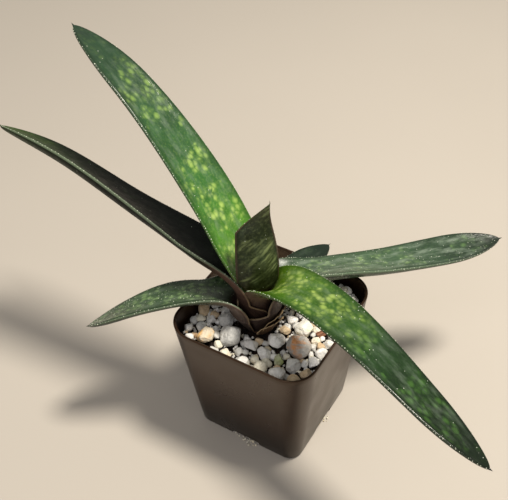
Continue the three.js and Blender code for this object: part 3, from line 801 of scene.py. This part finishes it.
class LeafFinish(Finish):
    """The finish of one leaf, laid on from its green to its margins and the husk of its sheath."""

    def __init__(self, plant, leaf):
        look = LOOKS[leaf.kind]
        super().__init__(leaf.name.replace("_", " "), roughness=look["rough"], specular=look["gloss"])
        self.look, self.streaked = look, "streaks" in look
        self.shader.inputs["Coat Weight"].default_value = 0.2 * look["gloss"]
        self.shader.inputs["Coat Roughness"].default_value = 0.22
        self.across = self.attribute("blade")
        self.edge, self.s, self.upper = self.split(self.attribute("leaf"))
        self.fine = self.noise(self.across, 0.9, 3, 0.6).outputs[0]
        self.lines = self.noise(self.stretch(self.across, 2.4, 0.09, 1), 1, 2, 0.6).outputs[0]
        self.thinning = self.fade(self.s, look["thin"], look["thin"] + 0.2, 1.0, 0.08)
        self.inside = self.fade(self.edge, 0.92, 0.72, 0.1, 1)
        self.spot_tone = self.mix(
            self.fade(self.s, *look["dim"]), shade(look["spot"]), shade(look["far_spot"]),
        )
        self.strength = self.fade(self.s, *look["dim"], 0.75, look["far"])
        tone = self.spots(self.green())
        # The blade is darker toward its margins.
        tone = self.mix(self.fade(self.edge, 0.6, 0.92, 0, 0.5), tone, (0.36, 0.46, 0.36), "MULTIPLY")
        tone = self.underside(self.margin(self.bloom(tone)))
        self.colour(self.sheath(tone, plant, leaf))
        self.surface()

    def green(self):
        """The tones along the leaf, clouded, with faint mottling and fine lines."""
        broad = self.noise(self.across, 0.09, 3, 0.55).outputs[0]
        stops = [(at, shade(code)) for at, code in self.look["tones"]]
        tone = self.ramp(self.waver(self.s, broad, 0.12), *stops)
        tone = self.mix(self.fade(broad, 0.32, 0.72), tone, (0.72, 0.72, 0.72), "MULTIPLY")
        faint = self.times(self.fade(self.fine, 0.45, 0.8, 0, 0.3), self.strength, self.thinning)
        tone = self.mix(faint, tone, self.spot_tone)
        return self.mix(self.fade(self.lines, 0.35, 0.7, 0.0, 0.16), tone, (0.25, 0.25, 0.25), "MULTIPLY")

    def spots(self, tone):
        """Soft pale spots gathered in cross bands, or leaning streaks on the young leaf."""
        wander = self.noise(self.across, 0.35, 2).outputs["Color"]
        if self.streaked:
            leaning = self.add("ShaderNodeMapping")
            self.feed(leaning.inputs["Vector"], self.across)
            leaning.inputs["Rotation"].default_value = (0, 0, math.radians(38))
            stretched = self.stretch(self.shift(leaning.outputs[0], wander, 1.2), 0.2, 1.3, 1)
        else:
            stretched = self.stretch(self.shift(self.across, wander, 1.5), 1, 0.78, 1)
        spots = self.cells(stretched, 1 / self.look["cell"])
        which = self.split(spots.outputs["Color"], "Color")
        bands = self.noise(self.stretch(self.across, 0.6, 1, 1), 0.07, 2, 0.5, 0.5).outputs[0]
        size = self.times(self.fade(which[0], 0, 1, 0.55, 1.25), self.look["size"])
        round_spot = self.fade(spots.outputs["Distance"], self.times(size, 1.6), self.times(size, 0.1))
        chance = self.fade(self.math("ADD", bands, self.times(which[1], 0.07)),
                           self.look["band"] + 0.02, self.look["band"] + 0.1)
        where = self.times(chance, self.inside, self.thinning)
        tone = self.mix(self.times(round_spot, where, self.strength), tone, self.spot_tone)
        halo = self.times(self.fade(spots.outputs["Distance"], 0.9, 0.2), where)
        return self.mix(self.times(halo, 0.18), tone, self.spot_tone)

    def bloom(self, tone):
        """Greyish waxy patches with a painted sheen laid on in them, and small white specks."""
        cloud = self.noise(self.stretch(self.across, 1, 0.3, 1), 0.3, 4, 0.62).outputs[0]
        # The greyish patches are partly the leaf's waxy coat and partly painted sheen.
        bloom_and_sheen = self.times(self.fade(cloud, 0.42, 0.72, 0, self.look["bloom_and_sheen"]), self.thinning, self.inside)
        tone = self.mix(bloom_and_sheen, tone, shade("7d8c7c"))
        dots = self.cells(self.across, 0.75)
        chosen = self.split(dots.outputs["Color"], "Color")[0]
        share = self.look["specks"]
        self.specks = self.times(self.fade(dots.outputs["Distance"], 0.17, 0.09),
                                 self.fade(chosen, 1 - 0.35 * share, 1 - 0.3 * share))
        return self.mix(self.times(self.specks, 0.8), tone, shade("d7dccf"))

    def margin(self, tone):
        """A dark line inside the horny margin, which is pale, or brown on the young leaf."""
        line = self.times(self.fade(self.edge, 0.86, 0.93), self.fade(self.edge, 0.985, 0.95), 0.4)
        tone = self.mix(line, tone, (0.35, 0.42, 0.3), "MULTIPLY")
        rim = self.fade(self.edge, 0.86, 0.95) if self.streaked else self.fade(self.edge, 0.965, 0.99)
        return self.mix(self.times(rim, self.look["rim"]), tone,
                        shade("5d463a" if self.streaked else "93a287"))

    def underside(self, tone):
        """A duller underside, mauve near its base."""
        tone = self.mix(self.fade(self.upper, 0.6, 0.4, 0, 0.35), tone, (0.55, 0.6, 0.5), "MULTIPLY")
        mauve = self.times(self.fade(self.upper, 0.6, 0.4), self.fade(self.s, 0.2, 0.04, 0, 0.9))
        return self.mix(mauve, tone, shade("5c463c"))

    def sheath(self, tone, plant, leaf):
        """The sheath is brown with dry papery edges, fainter on the heart leaf."""
        husk = self.mix(self.fade(self.lines, 0.35, 0.65), tuple(plant.sheath_colour), shade("2a1e18"))
        # Painted shade: the sheath darkens to near black toward its foot, down among the leaves.
        husk = self.mix(self.fade(self.s, -0.05, -0.45, 0, 0.8), husk, shade("120d09"))
        husk = self.mix(self.fade(self.edge, 0.95, 1.0, 0, 0.45), husk, tuple(plant.papery))
        turning = self.waver(self.s, self.fine, 0.05)
        if leaf.rank == 0:
            return self.mix(self.fade(turning, 0.1, -0.06, 0, 0.8), tone, husk)
        return self.mix(self.fade(turning, 0.055, -0.01), tone, husk)

    def surface(self):
        worn = self.noise(self.across, 0.25, 3).outputs[0]
        worn = self.math("ADD", self.fade(worn, 0.3, 0.7, -0.04, 0.09), self.look["rough"])
        self.roughness(self.math("ADD", worn, self.fade(self.s, 0.16, -0.02, 0, 0.34)))
        self.relief(self.lines, 0.00012, 0.55)
        self.relief(self.noise(self.across, 1.6, 3, 0.6).outputs[0], 0.00012, 0.5)
        self.relief(self.noise(self.across, 0.2, 2).outputs[0], 0.0009, 0.35)
        self.relief(self.specks, 0.0002, 0.6)


WARTS = {"low": 150, "right": 70}  # pale beads on the face of the leaf, by kind of leaf


class GASTERIA_OT_build_leaves(bpy.types.Operator):
    """Builds the seven leaves with the pale beads along their margins"""
    bl_idname = "gasteria.build_leaves"
    bl_label = "Leaves"

    def execute(self, context):
        plant = context.scene.gasteria_plant
        bead = self.make_bead()
        horn = self.bead_finish()
        for number, leaf in enumerate(LEAVES):
            piece = leaf_blank(leaf.name + "_blade", SHEATH_RINGS + BLADE_RINGS + 1)
            sections = shape_leaf(piece, plant, leaf)
            face_outwards(piece)
            smooth_over(piece)
            finish_piece(piece, LeafFinish(plant, leaf).material, leaf.slot, leaf.name)
            places = self.bead_places(plant, leaf, sections, Random(40 + number))
            margin = copies(leaf.name + "_margin", bead, places)
            finish_piece(margin, horn, leaf.slot)
        drop(bead)
        return {"FINISHED"}

    def make_bead(self):
        bead = ball("bead", 1)
        for vertex in bead.data.vertices:
            vertex.co.z *= 0.8
        return bead

    def bead_places(self, plant, leaf, sections, random):
        """Along both margins, at uneven steps, and all over the two warty leaves."""
        places = []
        blade = sections[SHEATH_RINGS:]
        for edge in (-1, 1):
            next_at = 5 * MM
            for k in range(1, len(blade) - 3):
                before, after = blade[k - 1], blade[k]
                while before["walked"] <= next_at < after["walked"]:
                    t = (next_at - before["walked"]) / (after["walked"] - before["walked"])
                    u = edge * random.uniform(0.985, 1.0)
                    spot = section_point(before, u, False).lerp(section_point(after, u, False), t)
                    radius = plant.bead * random.uniform(0.55, 1.15)
                    size = (radius, radius * random.uniform(0.8, 1.5), radius)
                    turn = any_turn(random)
                    if random.random() < 0.85:
                        places.append(put(spot, turn, size))
                    next_at += random.uniform(0.9, 2.1) * MM
        for _ in range(WARTS.get(leaf.kind, 0)):
            k = random.randrange(14, len(blade) - 6)
            u = random.uniform(-0.93, 0.93)
            radius = plant.bead * random.uniform(0.45, 0.85)
            spot = section_point(blade[k], u, False)
            places.append(Matrix.Translation(spot) @ Matrix.Scale(radius, 4))
        return places

    def bead_finish(self):
        finish = Finish("margin beads", roughness=0.35, specular=0.6)
        cloud = finish.noise(finish.place, 700, 2).outputs[0]
        finish.colour(finish.ramp(cloud, (0.35, shade("8fa082")), (0.6, shade("cfd5c2"))))
        finish.roughness(finish.fade(cloud, 0.3, 0.7, 0.3, 0.5))
        return finish.material


# ---------------------------------------------------------------- dry sheaths

class GASTERIA_OT_build_dry_sheaths(bpy.types.Operator):
    """Builds the thin dead sheaths that clasp the foot of the plant"""
    bl_idname = "gasteria.build_dry_sheaths"
    bl_label = "Dry Sheaths"

    # name, rank among the sheaths, rise, half the angle it clasps, direction
    SHEATHS = (
        ("dry_sheath_right", 5, 12, 40, -8),
        ("dry_sheath_front", 6, 10, 42, -22),
    )

    def execute(self, context):
        plant = context.scene.gasteria_plant
        husk = self.husk(plant)
        for number, (name, rank, rise, clasp, yaw) in enumerate(self.SHEATHS):
            clear_selection()
            bpy.ops.mesh.primitive_grid_add(
                x_subdivisions=40, y_subdivisions=24, size=2, location=(0, 0, 0),
            )
            piece = name_piece(name + "_husk")
            self.wrap(piece, plant, rank, rise * MM, math.radians(clasp), math.radians(yaw), 9.0 * number)
            apply_modifier(piece, "SOLIDIFY", thickness=0.28 * MM, offset=1.0)
            face_outwards(piece)
            smooth_over(piece)
            finish_piece(piece, husk, "dry_sheath", name)
        return {"FINISHED"}

    def wrap(self, piece, plant, rank, rise, clasp, yaw, seed):
        marks = []
        for vertex in piece.data.vertices:
            u, share = vertex.co.x, (vertex.co.y + 1) / 2
            ragged = 1 - 0.10 * noise.noise(Vector((u * 4, seed, 0))) - 0.05 * noise.noise(
                Vector((u * 13, seed, 5)))
            up = share * ragged * math.sqrt(max(0.0, 1 - 0.75 * abs(u) ** 3))
            radius = sheath_radius(plant, rank, clamp(up * rise / (15 * MM)))
            curl = 1.1 * MM * abs(u) ** 6 * share + 0.9 * MM * share ** 5
            ripple = 0.22 * MM * noise.noise(Vector((u * 5, up * 3, seed + 3)))
            turn = yaw + u * clasp * (1 + 0.08 * noise.noise(Vector((share * 3, seed, 8))))
            reach = radius + 0.3 * MM + curl + ripple
            vertex.co = AXIS + Vector((
                reach * math.cos(turn), reach * math.sin(turn), COLLAR + up * rise,
            ))
            marks.append((abs(u), share, max(abs(u), share)))
        store(piece, "leaf", marks)

    def husk(self, plant):
        finish = Finish("dry husk", roughness=0.6, specular=0.35)
        near_edge = finish.split(finish.attribute("leaf"))[2]
        ribs = finish.noise(finish.stretch(finish.place, 1, 1, 0.12), 1500, 2).outputs[0]
        cloud = finish.noise(finish.place, 260, 3).outputs[0]
        tone = finish.mix(finish.fade(ribs, 0.35, 0.65), shade("57402f"), shade("7d6247"))
        tone = finish.mix(finish.fade(cloud, 0.55, 0.75, 0, 0.6), tone, shade("2e211a"))
        tone = finish.mix(finish.fade(near_edge, 0.84, 0.97), tone, tuple(plant.papery))
        finish.colour(tone)
        finish.relief(ribs, 0.0002, 0.6)
        return finish.material


# ---------------------------------------------------------------- stones, grains and chip

def stone_surface(direction, planes, seed):
    """How far out a stone reaches in one direction: a ball worn flat by planes."""
    worn = sum(max(0.0, direction.dot(n) / d) ** 16 for n, d in planes) + 1
    lumps = noise.fractal(direction * 1.3 + seed, 0.9, 2.0, 3)
    pits = noise.noise(direction * 6.5 + seed)
    return (1 / worn ** (1 / 16)) * (1 + 0.08 * lumps) + 0.018 * pits


def wear_down(piece, random, number):
    """Turns a ball into a stone with worn flats."""
    planes = [(random_direction(random), random.uniform(0.58, 0.86)) for _ in range(11)]
    seed = Vector((number * 7.3, 2.1, 5.7))
    for vertex in piece.data.vertices:
        direction = vertex.co.normalized()
        vertex.co = direction * stone_surface(direction, planes, seed)


def random_direction(random):
    z = random.uniform(-1, 1)
    turn = random.uniform(0, 2 * math.pi)
    flat = math.sqrt(1 - z * z)
    return Vector((flat * math.cos(turn), flat * math.sin(turn), z))


def pumice(name, base, stain, amount=0.5, holes=0.5, spread=0.54):
    """Rough porous stone: a base tone with clouds, stains and small holes with painted shade in them."""
    finish = Finish(name, roughness=0.85, specular=0.3)
    cloud = finish.noise(finish.place, 170, 4, 0.6).outputs[0]
    grain = finish.noise(finish.place, 1300, 3, 0.7).outputs[0]
    blot = finish.noise(finish.place, 110, 3, 0.6, 0.8).outputs[0]
    pores = finish.cells(finish.place, 1250).outputs["Distance"]
    # Painted shade: the pits are darkened as if shaded inside, in patches.
    dark = finish.fade(pores, 0.24, 0.1)
    some = finish.fade(finish.noise(finish.place, 420, 2).outputs[0], 0.52, 0.64)
    tone = finish.mix(finish.fade(cloud, 0.3, 0.7), tuple(0.74 * c for c in base), base)
    bright = tuple(min(0.95, 1.2 * c) for c in base)
    tone = finish.mix(finish.fade(grain, 0.5, 0.8, 0, 0.5), tone, bright)
    tone = finish.mix(finish.fade(blot, spread, spread + 0.16, 0, amount), tone, stain)
    finish.colour(finish.mix(finish.times(dark, some, holes), tone, shade("4a443c")))
    finish.relief(finish.noise(finish.place, 380, 4, 0.65).outputs[0], 0.0008, 0.8)
    finish.relief(pores, 0.0003, 0.6)
    return finish.material


STAINS = {"grey": "9d968a", "white": "d2c6ac", "cream": "cdb277", "tan": "b5824a"}


def pumice_of(bed, tint):
    """The finish of the stones of one tint, made when it is first asked for."""
    name = "pumice " + tint
    made = bpy.data.materials.get(name)
    return made or pumice(name, tuple(getattr(bed, tint)), shade(STAINS[tint]))


class GASTERIA_OT_build_stones(bpy.types.Operator):
    """Builds the pumice stones on top of the potting mix"""
    bl_idname = "gasteria.build_stones"
    bl_label = "Stones"

    def execute(self, context):
        bed = context.scene.gasteria_bed
        special = {
            "stone_18": pumice("pumice rusty", shade("b9b5ae"), shade("cf8a48"), 0.85, 0.9, 0.47),
            "stone_16": pumice("pumice mossy", shade("c4c7a6"), shade("93a05c"), 0.8, 0.5, 0.46),
            "stone_24": pumice("pumice bright", shade("f4f1e6"), shade("e3dca4"), 0.8, 0.3),
            "stone_02": pumice("pumice ochre", shade("ddd0b8"), shade("d2a35c"), 0.8, 0.5, 0.46),
        }
        slots = {row["node"]: row["material_slot"] for row in frame["record"]["subparts"]}
        names = sorted(n for n in frame["nodes"] if n.startswith("stone_"))
        for number, name in enumerate(names):
            low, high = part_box(name)
            slot = slots[name]
            material = special.get(name) or pumice_of(bed, slot.split("_")[1])
            piece = self.make_stone(name + "_pumice", low, high, number)
            finish_piece(piece, material, slot, name)
        return {"FINISHED"}

    def make_stone(self, name, low, high, number):
        random = Random(700 + number)
        piece = ball(name, 5)
        wear_down(piece, random, number)
        points = [v.co for v in piece.data.vertices]
        least = Vector(tuple(min(p[k] for p in points) for k in range(3)))
        most = Vector(tuple(max(p[k] for p in points) for k in range(3)))
        for vertex in piece.data.vertices:
            for k in range(3):
                share = (vertex.co[k] - least[k]) / (most[k] - least[k])
                vertex.co[k] = lerp(low[k], high[k], share)
        smooth_over(piece)
        return piece


STEM_ROOM = 8.3 * MM  # round the stem, where no grain lies
# Few grains lie in front of the stem, so the dark soil shows there: real soil that also stands as painted
# shade.
BARE_SPOT = Vector((2, -14)) * MM  # where little lies on the ground, in front of the stem
BARE_REACH = 6.5 * MM
PEBBLE_TINTS = ("white", "grey", "cream", "white", "grey", "tan")
MOST_TRIES = 4000


def room_inside(pot, ground, radius):
    """How far from the pot's middle a grain can lie along each side."""
    return pot_side(pot, ground) / 2 - pot.wall - radius - 0.2 * MM


class GASTERIA_OT_build_grains(bpy.types.Operator):
    """Fills the gaps between the stones with small grains and dark crumbs"""
    bl_idname = "gasteria.build_grains"
    bl_label = "Grains"

    def execute(self, context):
        pot, bed = context.scene.gasteria_pot, context.scene.gasteria_bed
        stones = []
        for name in frame["nodes"]:
            if name.startswith("stone_") or name == "bark_chip":
                low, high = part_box(name)
                stones.append(((low + high) / 2, (high.x - low.x) / 2))
        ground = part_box("potting_mix")[1].z
        random = Random(21)
        self.lay_pebbles(random, pot, bed, stones, ground)
        seed = self.seed_grain(random)
        batches = {tint: [] for tint in ("grey", "white", "cream", "tan")}
        count = 0
        while count < bed.grains:
            spot, radius = self.place(random, pot, bed, ground)
            if self.blocked(spot, radius, stones):
                continue
            if (spot.xy - BARE_SPOT).length < BARE_REACH and random.random() < 0.8:
                continue
            tint = random.choices(("grey", "white", "cream", "tan"), (3, 5, 2, 0.5))[0]
            batches[tint].append(self.lay(random, spot, radius))
            count += 1
        for tint, places in batches.items():
            piece = copies("grains_" + tint, seed, places)
            finish_piece(piece, pumice_of(bed, tint), "pumice_" + tint)
        grit = [place for side in (0, 1) for place in self.slot_grit(random, pot, side)]
        piece = copies("slot_grit", seed, grit)
        finish_piece(piece, pumice_of(bed, "cream"), "pumice_cream")
        crumbs = []
        while len(crumbs) < bed.crumbs:
            spot, radius = self.place(random, pot, bed, ground)
            if not self.blocked(spot, radius, stones):
                crumbs.append(self.lay(random, spot, radius * 0.9))
        piece = copies("soil_crumbs", seed, crumbs)
        mix = Finish("soil crumbs", roughness=0.9, specular=0.3)
        bits = mix.noise(mix.place, 500, 3).outputs[0]
        mix.colour(mix.ramp(bits, (0.35, tuple(bed.soil)), (0.6, shade("33241b")), (0.8, shade("6a5038"))))
        mix.relief(bits, 0.0006, 0.7)
        finish_piece(piece, mix.material, "potting_mix")
        drop(seed)
        return {"FINISHED"}

    def slot_grit(self, random, pot, side):
        """Fine grit that has run out of a drain slot, at the front or at the right."""
        for _ in range(bpy.context.scene.gasteria_bed.slot_grit):
            radius = random.uniform(0.25, 0.7) * MM
            over = random.uniform(-0.45, 0.45) * pot.slot_width
            out = pot.foot_side / 2 + random.triangular(-3, 2.5, -0.5) * MM
            x, y = (over, -out) if side == 0 else (out, over)
            turn = turned(0, 0, random.uniform(0, FULL_TURN))
            yield put(Vector((x, y, radius * 0.8)), turn, (radius, radius * 0.9, radius * 0.8))

    def lay_pebbles(self, random, pot, bed, stones, ground):
        """Middling stones, copied from a few shapes, between the large ones and half on top of them."""
        for number, tint in enumerate(PEBBLE_TINTS):
            seed = ball("pebble", 3)
            wear_down(seed, random, 60 + number)
            places = []
            tries = 0
            while len(places) < bed.pebbles // len(PEBBLE_TINTS) and tries < MOST_TRIES:
                tries += 1
                spot, _ = self.place(random, pot, bed, ground)
                radius = random.uniform(1.5, 2.7) * MM
                half = room_inside(pot, ground, radius)
                if max(abs(spot.x), abs(spot.y)) > half or self.blocked(spot, radius, stones):
                    continue
                if abs(spot.x) + abs(spot.y) > 1.75 * half:
                    continue
                height = ground + radius * random.uniform(0.5, 0.8) + random.choice((0, 0, 0.8)) * MM
                middle = Vector((spot.x, spot.y, height))
                size = (radius, radius * random.uniform(0.8, 1), radius * 0.8)
                turn = turned(random.uniform(-0.4, 0.4), random.uniform(-0.4, 0.4),
                              random.uniform(0, FULL_TURN))
                places.append(put(middle, turn, size))
                stones.append((middle, radius * 0.9))
            # More of them lie heaped on the others in the corner behind the stem.
            for _ in range(bed.heaped // len(PEBBLE_TINTS)):
                spot = self.heap_spot(random, places, half)
                radius = random.uniform(1.7, 2.7) * MM
                height = ground + random.uniform(4.2, 5.6) * MM
                size = (radius, radius * random.uniform(0.8, 1), radius * 0.85)
                places.append(put(Vector((spot.x, spot.y, height)), any_turn(random), size))
            piece = copies("pebbles_%d" % (number + 1), seed, places)
            finish_piece(piece, pumice_of(bed, tint), "pumice_" + tint)
            drop(seed)

    def heap_spot(self, random, places, half):
        """A place in the corner, as far as can be from the stones heaped there so far."""
        def room(spot):
            return min([(spot - p.translation.xy).length for p in places] or [1])
        spots = [Vector((random.uniform(0.3, 0.97), random.uniform(0.3, 0.97))) * half for _ in range(12)]
        return max((v for v in spots if v.length < 1.24 * half), key=room)

    def seed_grain(self, random):
        clear_selection()
        bpy.ops.mesh.primitive_cube_add(size=2, location=(0, 0, 0))
        seed = name_piece("grain")
        edit_all()
        bpy.ops.mesh.subdivide(number_cuts=1)
        bpy.ops.transform.tosphere(value=0.8)
        bpy.ops.object.mode_set(mode="OBJECT")
        for vertex in seed.data.vertices:
            vertex.co = vertex.co.normalized() * random.uniform(0.78, 1.08)
        return seed

    def place(self, random, pot, bed, ground):
        radius = bed.grain * random.uniform(0.5, 1.0) * random.choice((0.7, 1, 1, 1.35))
        half = room_inside(pot, ground, radius)
        corner = pot_corner(pot, ground) - pot.wall
        while True:
            x, y = random.uniform(-half, half), random.uniform(-half, half)
            over = Vector((max(abs(x) - half + corner, 0), max(abs(y) - half + corner, 0)))
            if over.length <= corner:
                return Vector((x, y, ground)), radius

    def blocked(self, spot, radius, stones):
        if (spot.xy - AXIS.xy).length < STEM_ROOM + radius:
            return True
        return any((spot.xy - middle.xy).length < reach * 0.86 + radius * 0.35 for middle, reach in stones)

    def lay(self, random, spot, radius):
        height = spot.z + radius * random.uniform(0.4, 0.9) + random.choice((0, 0, 0.9, 1.6)) * MM
        size = (
            radius * random.uniform(0.8, 1.25), radius * random.uniform(0.8, 1.2),
            radius * random.uniform(0.6, 1),
        )
        return put(Vector((spot.x, spot.y, height)), any_turn(random), size)


CHIP_LENGTH, CHIP_WIDTH, CHIP_THICKNESS = 7.4 * MM, 3.3 * MM, 1.7 * MM
CHIP_TURN = 65  # degrees from the x axis


class GASTERIA_OT_build_bark_chip(bpy.types.Operator):
    """Builds the splinter of bark that lies among the stones"""
    bl_idname = "gasteria.build_bark_chip"
    bl_label = "Bark Chip"

    def execute(self, context):
        low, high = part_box("bark_chip")
        clear_selection()
        bpy.ops.mesh.primitive_cube_add(size=1, location=(0, 0, 0))
        piece = name_piece("bark_splinter")
        piece.scale = (CHIP_LENGTH, CHIP_WIDTH, CHIP_THICKNESS)
        apply_place(piece)
        edit_all()
        bpy.ops.mesh.bevel(offset=0.35 * MM, segments=2, affect="EDGES")
        bpy.ops.mesh.subdivide(number_cuts=4)
        bpy.ops.object.mode_set(mode="OBJECT")
        for vertex in piece.data.vertices:
            along_chip = vertex.co.x / CHIP_LENGTH
            vertex.co.y *= 1 - 0.35 * abs(along_chip + 0.15)
            vertex.co.y += 0.5 * MM * noise.noise(vertex.co * 400)
            vertex.co.z += 0.35 * MM * noise.noise(Vector((vertex.co.x * 150, vertex.co.y * 1400, 3)))
        piece.rotation_euler = Euler((math.radians(8), 0, math.radians(CHIP_TURN)))
        piece.location = (low + high) / 2 + Vector((0, 0, 0.5 * MM))
        apply_place(piece)
        smooth_over(piece, 40)
        bark = Finish("bark", roughness=0.85, specular=0.25)
        fibre = bark.add("ShaderNodeMapping")
        bark.feed(fibre.inputs["Vector"], bark.place)
        fibre.inputs["Rotation"].default_value = (0, 0, math.radians(-CHIP_TURN))
        strands = bark.noise(bark.stretch(fibre.outputs[0], 0.12, 1, 1), 1400, 3).outputs[0]
        bark.colour(bark.ramp(
            strands, (0.3, shade("4f3022")), (0.55, shade("7d5540")), (0.8, shade("a98468")),
        ))
        bark.relief(strands, 0.0005, 0.8)
        finish_piece(piece, bark.material, "bark", "bark_chip")
        return {"FINISHED"}


# ---------------------------------------------------------------- stage

class GASTERIA_OT_build_stage(bpy.types.Operator):
    """Lays the pale floor and sets the lights and the camera"""
    bl_idname = "gasteria.build_stage"
    bl_label = "Stage"

    def execute(self, context):
        stage = context.scene.gasteria_stage
        clear_selection()
        bpy.ops.mesh.primitive_plane_add(size=8, location=(0, 0, 0))
        floor = name_piece("studio_floor")
        paper = Finish("floor paper", roughness=0.8, specular=0.2)
        soft = paper.noise(paper.place, 3, 3).outputs[0]
        tone = tuple(stage.floor)
        paper.colour(paper.mix(paper.fade(soft, 0.3, 0.7), tone, tuple(0.96 * c for c in tone)))
        floor.data.materials.append(paper.material)

        target = Vector((-8, 0, 70)) * MM
        self.area_light("key", target, turn=25, rise=70, distance=1.0, size=0.22,
                        power=stage.key, tone=shade("fff7ea"))
        self.area_light("fill", target, turn=-80, rise=48, distance=1.1, size=0.8,
                        power=stage.fill, tone=shade("f8f7ff"))

        world = bpy.data.worlds.new("studio")
        world.use_nodes = True
        air = world.node_tree.nodes["Background"]
        air.inputs["Color"].default_value = (*shade("f3eee6"), 1)
        air.inputs["Strength"].default_value = stage.world
        context.scene.world = world
        context.scene.view_settings.view_transform = "Standard"
        self.set_camera(context)
        return {"FINISHED"}

    def area_light(self, name, target, turn, rise, distance, size, power, tone):
        """Sets a round light that looks at the target, its turn and rise in degrees."""
        turn, rise = math.radians(turn), math.radians(rise)
        direction = Vector((
            math.cos(rise) * math.cos(turn), math.cos(rise) * math.sin(turn), math.sin(rise),
        ))
        clear_selection()
        bpy.ops.object.light_add(type="AREA", location=target + direction * distance)
        lamp = bpy.context.object
        lamp.name = name
        lamp.rotation_euler = direction.to_track_quat("Z", "Y").to_euler()
        lamp.data.shape = "DISK"
        lamp.data.size = size
        lamp.data.energy = power
        lamp.data.color = tone

    def set_camera(self, context):
        azimuth, elevation, lean = math.radians(32.84), math.radians(43.58), math.radians(-2.46)
        target = Vector((-25.1, 26.4, 68.9)) * MM
        distance = 0.419
        back = Vector((
            math.sin(azimuth) * math.cos(elevation), -math.cos(azimuth) * math.cos(elevation),
            math.sin(elevation),
        ))
        right = Vector((math.cos(azimuth), math.sin(azimuth), 0))
        up = back.cross(right)
        level_right = right * math.cos(lean) + up * math.sin(lean)
        level_up = up * math.cos(lean) - right * math.sin(lean)
        bpy.ops.object.camera_add(location=target + back * distance)
        camera = bpy.context.object
        camera.name = "camera"
        camera.rotation_euler = Matrix((level_right, level_up, back)).transposed().to_euler()
        camera.data.sensor_width = 36
        camera.data.lens = 62.83
        camera.data.clip_start = 0.01
        context.scene.camera = camera


# ---------------------------------------------------------------- panel and start

BUILD_ORDER = (
    GASTERIA_OT_build_pot, GASTERIA_OT_finish_filling, GASTERIA_OT_build_leaves,
    GASTERIA_OT_build_dry_sheaths, GASTERIA_OT_build_stones, GASTERIA_OT_build_grains,
    GASTERIA_OT_build_bark_chip, GASTERIA_OT_build_stage,
)


class GASTERIA_PT_panel(bpy.types.Panel):
    """Lists the pieces of the potted gasteria"""
    bl_idname = "GASTERIA_PT_panel"
    bl_label = "Potted Gasteria"
    bl_space_type = "VIEW_3D"
    bl_region_type = "UI"
    bl_category = "Gasteria"

    def draw(self, context):
        for operator in BUILD_ORDER:
            self.layout.operator(operator.bl_idname)


GROUPS = {
    "gasteria_pot": PotSizes, "gasteria_plant": PlantSizes,
    "gasteria_bed": BedSettings, "gasteria_stage": StageSettings,
}


def register():
    for name, group in GROUPS.items():
        bpy.utils.register_class(group)
        setattr(bpy.types.Scene, name, PointerProperty(type=group))
    for operator in BUILD_ORDER:
        bpy.utils.register_class(operator)
    bpy.utils.register_class(GASTERIA_PT_panel)


def unregister():
    bpy.utils.unregister_class(GASTERIA_PT_panel)
    for operator in reversed(BUILD_ORDER):
        bpy.utils.unregister_class(operator)
    for name, group in GROUPS.items():
        delattr(bpy.types.Scene, name)
        bpy.utils.unregister_class(group)


def main():
    """Builds everything in order."""
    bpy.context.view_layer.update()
    register()
    bpy.ops.gasteria.build_pot()
    bpy.ops.gasteria.finish_filling()
    bpy.ops.gasteria.build_leaves()
    bpy.ops.gasteria.build_dry_sheaths()
    bpy.ops.gasteria.build_stones()
    bpy.ops.gasteria.build_grains()
    bpy.ops.gasteria.build_bark_chip()
    bpy.ops.gasteria.build_stage()


if __name__ == "__main__":
    main()
